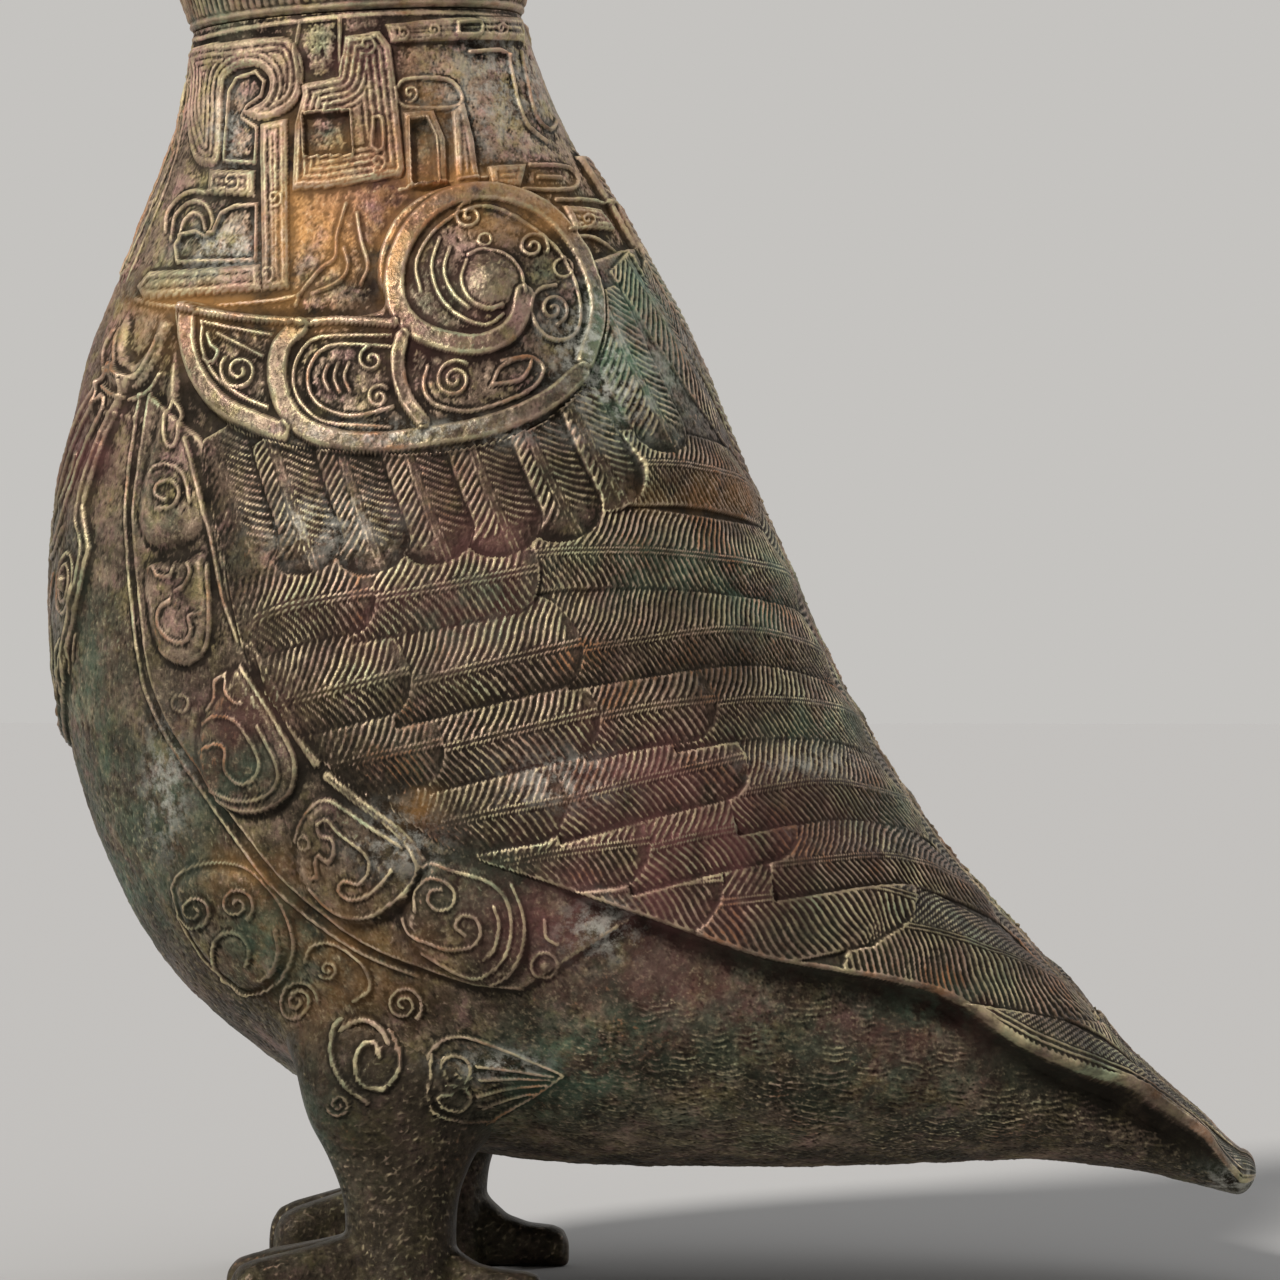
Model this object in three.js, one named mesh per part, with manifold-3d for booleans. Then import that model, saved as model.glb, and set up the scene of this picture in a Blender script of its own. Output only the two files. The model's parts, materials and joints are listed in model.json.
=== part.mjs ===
// Bronze owl zun: a hollow wine vessel in the form of a standing owl whose head lifts off as the lid.
// Millimetres, +Z up. The bird faces -X, its left side is -Y and its tail points to +X.
import * as THREE from "three";
import { mergeVertices } from "three/addons/utils/BufferGeometryUtils.js";
import Module from "manifold-3d";

const wasm = await Module();
wasm.setup();

// Overall sizes
const LENGTH = 266;            // breast to tail tip
const RIM_HEIGHT = 277;        // middle of the neck rim above the ground
const WIDTH = 146;             // across the vessel wall at its widest, without the wings
const HEAD_HEIGHT = 68;        // crown above the neck rim

// Castings and fits
const BODY_WALL = 4.4;         // neck and breast
const TAIL_WALL = 2.8;
const LID_WALL = 3.5;
const SEAM = 0.3;              // gap kept between a casting and the surface it sits on
const SPIGOT_CLEARANCE = 0.6;  // all round, lid spigot in the neck
const SPIGOT_DEPTH = 13;
const SPIGOT_WALL = 3;

// Relief heights above the vessel wall
const WING_RELIEF = 2.6;
const WING_EDGE_RELIEF = 6;    // lower edge of the wing, which overhangs the belly
const RIB_RELIEF = 1;          // feather shafts and coverts above the wing plate
const RIB_WIDTH = 2.2;
const COIL_RELIEF = 4.2;       // shoulder plate
const COIL_RIDGE = 2.4;        // spiral ridge on the shoulder plate, its section diameter
const TAIL_RELIEF = 3;
const MASK_RELIEF = 4;
const SPINE = 9;               // bare strip between each wing and the middle plane of the back

// Legs
const LEG_SPREAD = 38;         // middle of each foot from the middle plane
const LEG_ALONG = 0.298;       // leg axis from the breast, in shares of the length
const THIGH_TOP = 0.267;       // top of the thigh in rim heights
const SHIN = 13.5;             // half thickness of the shin along the bird
const TOE_LENGTH = 37.5;        // middle toe, from the leg axis
const TOE_WIDTH = 11;
const TOE_HEIGHT = 13;
const TOE_SPLAY = 24;          // degrees between neighbouring toes
const SPUR_LENGTH = 30.5;
const FOOT_ROUNDING = 2;

// Head
const EYE_RADIUS = 12;
const EYE_TURN = 46;           // degrees from the beak to each eye
const BEAK_REACH = 16;         // beak in front of the head wall
const TUFT_RISE = 20;          // ear tufts above the crown

// Grids of the vessel surface and of the plates laid over it
const VESSEL_GRID = { slices: 30, around: 32 };
const PLATE_GRID = { slices: 20, around: 24 };

// Side outlines of the vessel: along the length from the breast, and up from the ground in rim heights
const PIVOT = sidePoint([1.053, 1.045]);
const BACK = [[0.383, 1.008], [0.417, 0.924], [0.474, 0.829], [0.527, 0.733], [0.589, 0.59],
  [0.649, 0.463], [0.722, 0.352], [0.81, 0.257], [0.903, 0.162], [0.976, 0.108]].map(sidePoint);
const FRONT = [[0.112, 0.993], [0.101, 0.924], [0.064, 0.829], [0.024, 0.733], [0.006, 0.638],
  [0, 0.543], [0.008, 0.448], [0.037, 0.352], [0.091, 0.257], [0.171, 0.186], [0.268, 0.13],
  [0.359, 0.105], [0.566, 0.096], [0.78, 0.102], [0.888, 0.094], [0.976, 0.074]].map(sidePoint);
// Half width of each slice in shares of half WIDTH, against the slice angle in degrees
const BREADTH = [[3, 0.425], [10, 0.48], [18, 0.62], [26, 0.8], [34, 0.94], [42, 1], [50, 1],
  [58, 0.93], [66, 0.79], [74, 0.58], [80, 0.38], [84, 0.22], [86.3, 0.12]];
const FIRST_SLICE = angleOf(FRONT[0]);
const LAST_SLICE = angleOf(BACK[BACK.length - 1]);

function sidePoint([along, up]) {
  return { x: (along - 0.5) * LENGTH, z: up * RIM_HEIGHT };
}

// The slices fan out from the pivot: level at the neck and upright at the tail.
function angleOf(point) {
  return Math.atan2(PIVOT.z - point.z, PIVOT.x - point.x);
}

function radiusOf(point) {
  return Math.hypot(PIVOT.z - point.z, PIVOT.x - point.x);
}

// Smooth value through pairs of [position, value]
function smooth(pairs, at) {
  const last = pairs.length - 1;
  const clamped = Math.min(Math.max(at, pairs[0][0]), pairs[last][0]);
  let i = 0;
  while (i < last - 1 && clamped > pairs[i + 1][0]) i += 1;
  const slope = (k) => {
    const a = pairs[Math.max(k - 1, 0)];
    const b = pairs[Math.min(k + 1, last)];
    return (b[1] - a[1]) / (b[0] - a[0]);
  };
  const [x0, y0] = pairs[i];
  const [x1, y1] = pairs[i + 1];
  const span = x1 - x0;
  const t = (clamped - x0) / span;
  const start = (1 + 2 * t) * (1 - t) ** 2 * y0 + t * (1 - t) ** 2 * span * slope(i);
  const end = t * t * (3 - 2 * t) * y1 + t * t * (t - 1) * span * slope(i + 1);
  return start + end;
}

const backRadii = BACK.map((p) => [angleOf(p), radiusOf(p)]);
const frontRadii = FRONT.map((p) => [angleOf(p), radiusOf(p)]);
const breadths = BREADTH.map(([deg, share]) => [THREE.MathUtils.degToRad(deg), share * WIDTH / 2]);

// A point of the vessel surface. around: 0 at the back, a quarter turn at the left side, half at the breast.
function surface(slice, around, inset = 0) {
  const back = smooth(backRadii, slice) + inset;
  const front = smooth(frontRadii, slice) - inset;
  const middle = (back + front) / 2;
  const radius = middle - (front - back) / 2 * Math.cos(around);
  const side = Math.sin(around);
  const breadth = (smooth(breadths, slice) - inset) * Math.sign(side) * Math.abs(side) ** 0.9;
  return new THREE.Vector3(
    PIVOT.x - radius * Math.cos(slice), -breadth, PIVOT.z - radius * Math.sin(slice));
}

// The same point lifted off the surface along its normal
function lifted(slice, around, lift) {
  const step = 0.01;
  const along = surface(slice + step, around).sub(surface(slice - step, around));
  const across = surface(slice, around + step).sub(surface(slice, around - step));
  const normal = along.cross(across).normalize();
  return surface(slice, around).addScaledVector(normal, -lift);
}

// Closed body through rings of points, each end closed to the middle of its ring
function loft(rings) {
  const count = rings[0].length;
  const centre = (ring) => ring.reduce((sum, p) => sum.add(p), new THREE.Vector3()).divideScalar(count);
  const points = [...rings.flat(), centre(rings[0]), centre(rings[rings.length - 1])];
  const index = [];
  const first = rings.length * count;
  for (let i = 0; i < count; i += 1) {
    const j = (i + 1) % count;
    for (let k = 0; k < rings.length - 1; k += 1) {
      const a = k * count;
      const b = a + count;
      index.push(a + i, b + i, b + j, a + i, b + j, a + j);
    }
    index.push(first, i, j);
    index.push(first + 1, first - count + j, first - count + i);
  }
  const geometry = new THREE.BufferGeometry().setFromPoints(points);
  geometry.setIndex(index);
  return solid(geometry);
}

function solid(geometry) {
  const bare = geometry.clone();
  bare.deleteAttribute("normal");
  bare.deleteAttribute("uv");
  const merged = mergeVertices(bare, 1e-4);
  const build = (triVerts) => new wasm.Manifold(new wasm.Mesh({
    numProp: 3, vertProperties: new Float32Array(merged.attributes.position.array), triVerts }));
  const body = build(new Uint32Array(merged.index.array));
  if (body.volume() > 0) return body;
  return build(new Uint32Array(merged.index.array).reverse());
}

function largest(body) {
  return body.decompose().sort((a, b) => b.volume() - a.volume())[0];
}

function piece(name, body, material) {
  const raw = largest(body).getMesh();
  const geometry = new THREE.BufferGeometry();
  geometry.setAttribute("position", new THREE.BufferAttribute(new Float32Array(raw.vertProperties), 3));
  geometry.setIndex(new THREE.BufferAttribute(new Uint32Array(raw.triVerts), 1));
  geometry.computeVertexNormals();
  const mesh = new THREE.Mesh(geometry, new THREE.MeshStandardMaterial(material));
  mesh.name = name;
  return mesh;
}

// Vessel skin lifted by a height that may change over the surface
function skin(height, grid = PLATE_GRID) {
  const rings = [];
  for (let k = 0; k <= grid.slices; k += 1) {
    const slice = FIRST_SLICE + (LAST_SLICE - FIRST_SLICE) * k / grid.slices;
    rings.push(Array.from({ length: grid.around }, (unused, i) => {
      const around = 2 * Math.PI * i / grid.around;
      return lifted(slice, around, height(slice, around));
    }));
  }
  // rounded end of the tail
  const tip = rings[grid.slices];
  const middle = tip.reduce((sum, p) => sum.add(p), new THREE.Vector3()).divideScalar(grid.around);
  const outward = new THREE.Vector3(Math.sin(LAST_SLICE), 0, -Math.cos(LAST_SLICE));
  const lift = height(LAST_SLICE, 0);
  [[0.85, 2], [0.5, 3.6]].forEach(([share, reach]) => {
    rings.push(tip.map((p) => middle.clone().lerp(p, share).addScaledVector(outward, reach + lift)));
  });
  return loft(rings);
}

// Hollow of the vessel, open through the neck rim, with a thinner wall toward the tail
function hollow() {
  const rows = 16;
  const count = 24;
  const start = FIRST_SLICE - 0.08;
  const end = THREE.MathUtils.degToRad(79);
  const rings = [];
  for (let k = 0; k <= rows; k += 1) {
    const slice = start + (end - start) * k / rows;
    const thin = THREE.MathUtils.smoothstep(slice, 0.6, 1.1);
    const wall = BODY_WALL + (TAIL_WALL - BODY_WALL) * thin;
    rings.push(Array.from({ length: count }, (unused, i) => surface(slice, 2 * Math.PI * i / count, wall)));
  }
  return loft(rings);
}

// Smooth line through side view points given in the shares of the vessel outlines
function sideCurve(points, closed) {
  const places = points.map(sidePoint).map((p) => new THREE.Vector3(p.x, p.z, 0));
  return new THREE.CatmullRomCurve3(places, closed, "centripetal");
}

// Points beside a curve, offset to its left
function beside(curve, count, offset) {
  return Array.from({ length: count }, (unused, i) => {
    const at = curve.getPoint(i / (curve.closed ? count : count - 1));
    const along = curve.getTangent(i / (curve.closed ? count : count - 1));
    return new THREE.Vector2(at.x - along.y * offset, at.y + along.x * offset);
  });
}

// Prism over a side view outline: across both sides, or on one side from a distance off the middle plane
function sideExtrude(outline, side, from = 0) {
  const depth = side === "both" ? 2 * WIDTH : WIDTH;
  const geometry = new THREE.ExtrudeGeometry(new THREE.Shape(outline), { depth, bevelEnabled: false });
  geometry.rotateX(Math.PI / 2);
  geometry.translate(0, side === "left" ? -from : WIDTH + from, 0);
  return solid(geometry);
}

function sidePrism(points, side, from = 0, grow = 0) {
  return sideExtrude(beside(sideCurve(points, true), points.length * 2, grow), side, from);
}

// Narrow prism that follows a side view line
function shaftPrism(points, side) {
  const curve = sideCurve(points, false);
  const count = points.length + 3;
  const upper = beside(curve, count, RIB_WIDTH / 2);
  const lower = beside(curve, count, -RIB_WIDTH / 2).reverse();
  return sideExtrude([...upper, ...lower], side, SPINE);
}

// Side view outlines and lines, in the same shares as the vessel outlines, clockwise
const WING = [[0.44, 0.81], [0.52, 0.8], [0.62, 0.66], [0.73, 0.44], [0.88, 0.26], [0.86, 0.155],
  [0.78, 0.193], [0.722, 0.224], [0.65, 0.245], [0.533, 0.277], [0.417, 0.317], [0.326, 0.346],
  [0.26, 0.388], [0.194, 0.452], [0.153, 0.519], [0.138, 0.598], [0.124, 0.69], [0.25, 0.71],
  [0.38, 0.73]];
const COIL = [[0.107, 0.772], [0.153, 0.767], [0.23, 0.763], [0.272, 0.772], [0.268, 0.8],
  [0.278, 0.835], [0.31, 0.863], [0.351, 0.87], [0.395, 0.858], [0.43, 0.825], [0.447, 0.77],
  [0.434, 0.71], [0.4, 0.682], [0.351, 0.663], [0.285, 0.656], [0.219, 0.66], [0.165, 0.676],
  [0.122, 0.71]];
const COIL_CENTRE = [0.355, 0.785];
const TAIL = [[0.8, 0.34], [0.94, 0.22], [1.03, 0.15], [1.03, 0.06], [0.945, 0.1], [0.9, 0.132],
  [0.845, 0.165], [0.8, 0.18]];
const RUMP = [[0.86, 0.34], [1.1, 0.34], [1.1, 0], [0.815, 0]];
const SHAFTS = [
  [[0.43, 0.585], [0.52, 0.58], [0.6, 0.555], [0.67, 0.49]],
  [[0.3, 0.545], [0.42, 0.552], [0.55, 0.548], [0.7, 0.43]],
  [[0.2, 0.48], [0.35, 0.502], [0.52, 0.518], [0.64, 0.485], [0.74, 0.38]],
  [[0.24, 0.43], [0.38, 0.45], [0.53, 0.465], [0.66, 0.435], [0.78, 0.325]],
  [[0.34, 0.385], [0.56, 0.412], [0.68, 0.385], [0.8, 0.285]],
  [[0.45, 0.342], [0.62, 0.362], [0.72, 0.33], [0.82, 0.255]]];
const COVERTS = 6;
const COVERT_PITCH = 0.064;

function covertOutline(n) {
  const left = 0.128 + COVERT_PITCH * n;
  const right = left + COVERT_PITCH - 0.008;
  const tip = 0.565 + 0.004 * n;
  return [[left, 0.75], [right, 0.75], [right, tip + 0.03], [(left + right) / 2, tip],
    [left, tip + 0.03]];
}

// The wing stands further off the wall toward its lower edge, where it overhangs the belly.
function wingLift(slice, around) {
  const low = THREE.MathUtils.smoothstep(Math.abs(Math.sin(around / 2)), 0.45, 0.72);
  const rear = THREE.MathUtils.smoothstep(slice, 0.75, 1.05);
  return WING_RELIEF + (WING_EDGE_RELIEF - WING_RELIEF) * low * rear;
}

const vesselSkin = skin(() => 0, VESSEL_GRID);
const seatSkin = skin(() => SEAM, VESSEL_GRID);
const wingSkin = skin(wingLift);
const ribSkin = skin((slice, around) => wingLift(slice, around) + RIB_RELIEF);
const coilSkin = skin(() => COIL_RELIEF);

// Spiral ridge of the shoulder whorl, half sunk in the shoulder plate
function coilRidge(side) {
  const centre = sidePoint(COIL_CENTRE);
  const mirror = side === "left" ? 1 : -1;
  const points = [];
  for (let i = 0; i <= 20; i += 1) {
    const turn = 0.6 + i * 0.4;
    const reach = (0.019 + i * 0.0027) * LENGTH;
    const spot = { x: centre.x - reach * Math.cos(turn), z: centre.z + reach * Math.sin(turn) };
    const slice = angleOf(spot);
    const back = smooth(backRadii, slice);
    const front = smooth(frontRadii, slice);
    const share = ((back + front) / 2 - radiusOf(spot)) / ((front - back) / 2);
    const point = lifted(slice, Math.acos(share), COIL_RELIEF);
    points.push(new THREE.Vector3(point.x, point.y * mirror, point.z));
  }
  const section = new THREE.Shape();
  section.absarc(0, 0, COIL_RIDGE / 2, 0, 2 * Math.PI);
  return solid(new THREE.ExtrudeGeometry(section, { steps: 22, curveSegments: 3,
    bevelEnabled: false, extrudePath: new THREE.CatmullRomCurve3(points) }));
}

function shoulderCoil(side) {
  return coilSkin.intersect(sidePrism(COIL, side)).add(coilRidge(side)).subtract(seatSkin);
}

// Everything behind the line where the wings end and the tail begins
function rump(shift) {
  const outline = RUMP.map(sidePoint).map((p) => new THREE.Vector2(p.x + shift, p.z));
  return sideExtrude(outline, "both");
}

// Feathered plate: raised coverts and shafts, cut back round the shoulder coil, the tail and the vessel
function wing(side) {
  const relief = SHAFTS.map((line) => shaftPrism(line, side));
  for (let n = 0; n < COVERTS; n += 1) {
    const outline = covertOutline(n).map(sidePoint).map((p) => new THREE.Vector2(p.x, p.z));
    relief.push(sideExtrude(outline, side, SPINE));
  }
  const raised = ribSkin.intersect(wasm.Manifold.union(relief));
  return wingSkin.add(raised).intersect(sidePrism(WING, side, SPINE))
    .subtract(sidePrism(COIL, side, 0, SEAM)).subtract(rump(0)).subtract(seatSkin);
}

// Tail feathers, one plate over both sides of the rump
function tail() {
  return skin(() => TAIL_RELIEF).intersect(sidePrism(TAIL, "both")).intersect(rump(SEAM)).subtract(seatSkin);
}

// Animal mask on the breast: one half of its front view outline, out in half widths and up in rim heights
const MASK = [[0, 0.425], [0.14, 0.43], [0.27, 0.46], [0.42, 0.51], [0.49, 0.56], [0.42, 0.6],
  [0.47, 0.65], [0.52, 0.69], [0.4, 0.715], [0.25, 0.68], [0.13, 0.625], [0, 0.62]];

function mask() {
  const half = MASK.map(([out, up]) => new THREE.Vector2(out * WIDTH / 2, up * RIM_HEIGHT));
  const other = half.slice(1, -1).reverse().map((p) => new THREE.Vector2(-p.x, p.y));
  const outline = new THREE.SplineCurve([...half, ...other, half[0]]).getPoints(44);
  const geometry = new THREE.ExtrudeGeometry(new THREE.Shape(outline),
    { depth: LENGTH / 3, bevelEnabled: false });
  geometry.rotateX(Math.PI / 2);
  geometry.rotateZ(-Math.PI / 2);
  geometry.translate(-LENGTH / 5, 0, 0);
  return skin(() => MASK_RELIEF).intersect(solid(geometry)).subtract(seatSkin);
}

// Level ring with the same rounded section as the vessel
function levelRing(up, long, broad, x = 0, y = 0, count = 22) {
  return Array.from({ length: count }, (unused, i) => {
    const turn = 2 * Math.PI * i / count;
    const side = Math.sin(turn);
    const breadth = broad * Math.sign(side) * Math.abs(side) ** 0.9;
    return new THREE.Vector3(x - long * Math.cos(turn), y + breadth, up);
  });
}

// A toe or spur from its side profile, pointing along +X from the leg axis
function toe(length) {
  const inset = FOOT_ROUNDING;
  const profile = new THREE.Shape();
  profile.moveTo(0, inset);
  profile.lineTo(length - inset, inset);
  profile.quadraticCurveTo(length - inset, TOE_HEIGHT - inset, length - 8, TOE_HEIGHT - inset);
  profile.quadraticCurveTo(length * 0.6, TOE_HEIGHT, 0, TOE_HEIGHT + 9);
  const geometry = new THREE.ExtrudeGeometry(profile, { depth: TOE_WIDTH - 2 * inset,
    bevelSize: inset, bevelThickness: inset, bevelSegments: 2, curveSegments: 4 });
  geometry.translate(0, 0, inset - TOE_WIDTH / 2);
  geometry.rotateX(Math.PI / 2);
  return solid(geometry);
}

// Rows of the leg from the sole to the thigh: height, half sizes in shins, shift back, lean outward
const LEG_ROWS = [[0, 1.1, 1.04, 0, 0], [0.14, 1.06, 1, 0, 0], [0.3, 1, 0.93, 0, 0],
  [0.42, 1.2, 1, 0, 0], [0.53, 1.56, 1.16, 0, 1], [0.66, 1.98, 1.4, 1, 4], [0.8, 2.15, 1.5, 1, 6],
  [0.92, 1.8, 1.2, 1, 8], [1, 1, 0.6, 1, 9]];

function leg(side) {
  const out = side === "left" ? -1 : 1;
  const x = sidePoint([LEG_ALONG, 0]).x;
  const y = out * LEG_SPREAD;
  const shank = loft(LEG_ROWS.map(([up, long, broad, shift, lean]) => levelRing(
    up * THIGH_TOP * RIM_HEIGHT, long * SHIN, broad * SHIN, x + shift, y + out * lean)));
  const toes = [-TOE_SPLAY, 0, TOE_SPLAY].map((turn) => toe(TOE_LENGTH).rotate([0, 0, 180 + turn]));
  const foot = wasm.Manifold.union([...toes, toe(SPUR_LENGTH)]).translate([x, y, 0]);
  return shank.add(foot).subtract(seatSkin);
}

// Head, in its own frame: origin at the middle of the neck rim, Z out of the rim
const rimLong = (smooth(frontRadii, FIRST_SLICE) - smooth(backRadii, FIRST_SLICE)) / 2;
const rimBroad = smooth(breadths, FIRST_SLICE);
// Rows of the head: height in head heights, half sizes in rim half sizes, shift back
const HEAD_ROWS = [[0, 1, 1, 0], [0.1, 1.05, 1.1, 0], [0.22, 1.1, 1.24, -1], [0.4, 1.13, 1.34, -2],
  [0.58, 1.11, 1.34, -2], [0.74, 1, 1.22, -1], [0.87, 0.78, 0.97, 0], [0.96, 0.46, 0.58, 1],
  [1, 0.14, 0.18, 1]];

function headForm(grow) {
  return loft(HEAD_ROWS.map(([up, long, broad, shift], row) => levelRing(
    row === 0 ? SEAM - grow : up * HEAD_HEIGHT + grow,
    long * rimLong + grow, broad * rimBroad + grow, shift, 0, 24)));
}

const headSeat = headForm(SEAM);

function headLid() {
  const cavity = loft(HEAD_ROWS.slice(0, -1).map(([up, long, broad, shift], row) => levelRing(
    row === 0 ? -1 : up * HEAD_HEIGHT - LID_WALL,
    long * rimLong - LID_WALL, broad * rimBroad - LID_WALL, shift)));
  const long = rimLong - BODY_WALL - SPIGOT_CLEARANCE;
  const broad = rimBroad - BODY_WALL - SPIGOT_CLEARANCE;
  const tube = (grow, low, high) => loft([levelRing(low, long + grow, broad + grow),
    levelRing(high, long + grow, broad + grow)]);
  const flange = tube(BODY_WALL, SEAM, LID_WALL);
  const spigot = tube(0, -SPIGOT_DEPTH, LID_WALL).add(flange);
  return headForm(0).subtract(cavity).add(spigot)
    .subtract(tube(-SPIGOT_WALL, -SPIGOT_DEPTH - 1, LID_WALL + 1));
}

// Curved horn: stations along a line in the middle plane, each [x, z, half depth, half breadth]
function hook(stations) {
  const count = 12;
  const rings = stations.map(([x, z, deep, broad], i) => {
    const before = stations[Math.max(i - 1, 0)];
    const after = stations[Math.min(i + 1, stations.length - 1)];
    const tilt = Math.atan2(after[1] - before[1], after[0] - before[0]);
    return Array.from({ length: count }, (unused, k) => {
      const turn = 2 * Math.PI * k / count;
      const rise = deep * Math.cos(turn);
      return new THREE.Vector3(
        x - rise * Math.sin(tilt), broad * Math.sin(turn), z + rise * Math.cos(tilt));
    });
  });
  return loft(rings);
}

const FACE = -1.12 * rimLong;

function upperBeak() {
  const z = 0.44 * HEAD_HEIGHT;
  return hook([[FACE + 8, z, 8, 10], [FACE - BEAK_REACH * 0.4, z - 1, 7.5, 8],
    [FACE - BEAK_REACH * 0.75, z - 5, 6, 5.6], [FACE - BEAK_REACH * 0.95, z - 13, 4.4, 3.6],
    [FACE - BEAK_REACH, z - 20, 2, 1.8]]).subtract(headSeat);
}

function lowerBeak() {
  const z = 0.23 * HEAD_HEIGHT;
  return hook([[FACE + 9, z, 4, 7.5], [FACE - BEAK_REACH * 0.3, z - 1, 3.4, 5],
    [FACE - BEAK_REACH * 0.55, z - 2, 2, 2.6]]).subtract(headSeat);
}

// Round staring eye: a raised ring about a domed pupil
function eye(side) {
  const out = side === "left" ? -1 : 1;
  const turn = THREE.MathUtils.degToRad(EYE_TURN);
  const profile = [[0, -10], [1, -10], [1, 2.4], [0.82, 3.2], [0.68, 2.2], [0.5, 4], [0.22, 5],
    [0, 5.2]];
  const points = profile.map(([share, up]) => new THREE.Vector2(share * EYE_RADIUS, up));
  const geometry = new THREE.LatheGeometry(points, 16);
  geometry.rotateZ(Math.PI / 2);
  return solid(geometry).rotate([0, 0, -out * EYE_TURN])
    .translate([FACE * Math.cos(turn) - 2, out * 1.34 * rimBroad * Math.sin(turn), 0.55 * HEAD_HEIGHT])
    .subtract(headSeat);
}

// Ear tuft: a blade rising from the brow and sweeping back and out
function earTuft(side) {
  const out = side === "left" ? -1 : 1;
  const top = HEAD_HEIGHT + TUFT_RISE;
  const horn = hook([[-12, top - 46, 15, 6], [-10, top - 30, 14, 6], [-5, top - 16, 11, 5],
    [4, top - 6, 7, 3.8], [15, top, 2.4, 2]]);
  return horn.rotate([-out * 18, 0, 0]).translate([0, out * 0.22 * rimBroad, 0]).subtract(headSeat);
}

const oliveBronze = { color: 0x5a5040, roughness: 0.55, metalness: 0.85 };
const greenBronze = { color: 0x4a5a48, roughness: 0.62, metalness: 0.75 };
const brownBronze = { color: 0x5c463a, roughness: 0.5, metalness: 0.85 };
const darkBronze = { color: 0x3c3a30, roughness: 0.6, metalness: 0.8 };

const zun = new THREE.Group();
zun.name = "owl_zun";
zun.add(piece("body_vessel", vesselSkin.subtract(hollow()), oliveBronze));
zun.add(piece("breast_mask", mask(), greenBronze));
zun.add(piece("tail_feathers", tail(), brownBronze));
["left", "right"].forEach((side) => {
  zun.add(piece(`${side}_wing`, wing(side), brownBronze));
  zun.add(piece(`${side}_shoulder_coil`, shoulderCoil(side), greenBronze));
  zun.add(piece(`${side}_leg`, leg(side), darkBronze));
});

const rimReach = (smooth(frontRadii, FIRST_SLICE) + smooth(backRadii, FIRST_SLICE)) / 2;
const rimX = PIVOT.x - rimReach * Math.cos(FIRST_SLICE);
const rimZ = PIVOT.z - rimReach * Math.sin(FIRST_SLICE);
const head = new THREE.Group();
head.name = "head";
head.position.set(rimX, 0, rimZ);
head.rotation.y = -FIRST_SLICE;
head.add(piece("head_lid", headLid(), oliveBronze));
head.add(piece("upper_beak", upperBeak(), darkBronze));
head.add(piece("lower_beak", lowerBeak(), darkBronze));
["left", "right"].forEach((side) => {
  head.add(piece(`${side}_eye`, eye(side), greenBronze));
  head.add(piece(`${side}_ear_tuft`, earTuft(side), brownBronze));
});
zun.add(head);

// The origin lies on the ground under the middle of the whole object.
const extent = new THREE.Box3().setFromObject(zun);
zun.position.x = -(extent.min.x + extent.max.x) / 2;

export default zun;
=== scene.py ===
"""Bronze owl zun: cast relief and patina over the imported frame."""

import json
import math

import bpy
import numpy as np
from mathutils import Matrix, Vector


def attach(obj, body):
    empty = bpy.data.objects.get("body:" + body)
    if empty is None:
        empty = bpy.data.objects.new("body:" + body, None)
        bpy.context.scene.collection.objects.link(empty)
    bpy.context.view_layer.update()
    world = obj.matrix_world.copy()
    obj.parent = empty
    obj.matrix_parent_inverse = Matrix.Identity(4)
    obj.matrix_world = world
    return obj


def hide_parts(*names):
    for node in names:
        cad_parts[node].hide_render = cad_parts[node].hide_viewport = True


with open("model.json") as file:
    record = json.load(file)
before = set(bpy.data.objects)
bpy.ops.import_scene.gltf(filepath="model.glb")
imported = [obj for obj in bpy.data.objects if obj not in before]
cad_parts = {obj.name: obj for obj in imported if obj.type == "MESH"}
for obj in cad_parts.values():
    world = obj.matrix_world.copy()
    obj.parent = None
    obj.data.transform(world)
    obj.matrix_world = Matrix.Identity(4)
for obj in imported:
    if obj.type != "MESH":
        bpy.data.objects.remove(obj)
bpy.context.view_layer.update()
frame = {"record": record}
rng = np.random.default_rng(7)

# Vessel form in millimetres, the same outlines as the CAD body
LENGTH, RIM_HEIGHT, WIDTH, HEAD_HEIGHT = 266.0, 277.0, 146.0, 68.0
BODY_WALL, LID_WALL, SEAM = 4.4, 3.5, 0.3
SPIGOT_CLEARANCE, SPIGOT_DEPTH, SPIGOT_WALL = 0.6, 13.0, 3.0
SHIFT = 1.25  # the frame's origin is under the middle of the whole object
PX = 0.22  # millimetres per photo pixel at the middle plane
# Side outlines as shares of the length and the height, then half breadths by degrees of the fan of sections
BACK = [(0.383, 1.008), (0.417, 0.924), (0.474, 0.829), (0.527, 0.733), (0.589, 0.59),
        (0.649, 0.463), (0.722, 0.352), (0.81, 0.257), (0.903, 0.162), (0.976, 0.108)]
FRONT = [(0.112, 0.993), (0.101, 0.924), (0.064, 0.829), (0.024, 0.733), (0.006, 0.638),
         (0, 0.543), (0.008, 0.448), (0.037, 0.352), (0.091, 0.257), (0.171, 0.186), (0.268, 0.13),
         (0.359, 0.105), (0.566, 0.096), (0.78, 0.102), (0.888, 0.094), (0.976, 0.074)]
BREADTH = [(3, 0.425), (10, 0.48), (18, 0.62), (26, 0.8), (34, 0.94), (42, 1), (50, 1),
           (58, 0.93), (66, 0.79), (74, 0.58), (80, 0.38), (84, 0.22), (86.3, 0.12)]
PIVOT_SHARE = (1.053, 1.045)  # middle of the fan, behind the neck
FULLNESS = 0.9  # power that fills out an oval


def side_point(along, up):
    return (along - 0.5) * LENGTH + SHIFT, up * RIM_HEIGHT


PIVOT = side_point(*PIVOT_SHARE)


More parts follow.
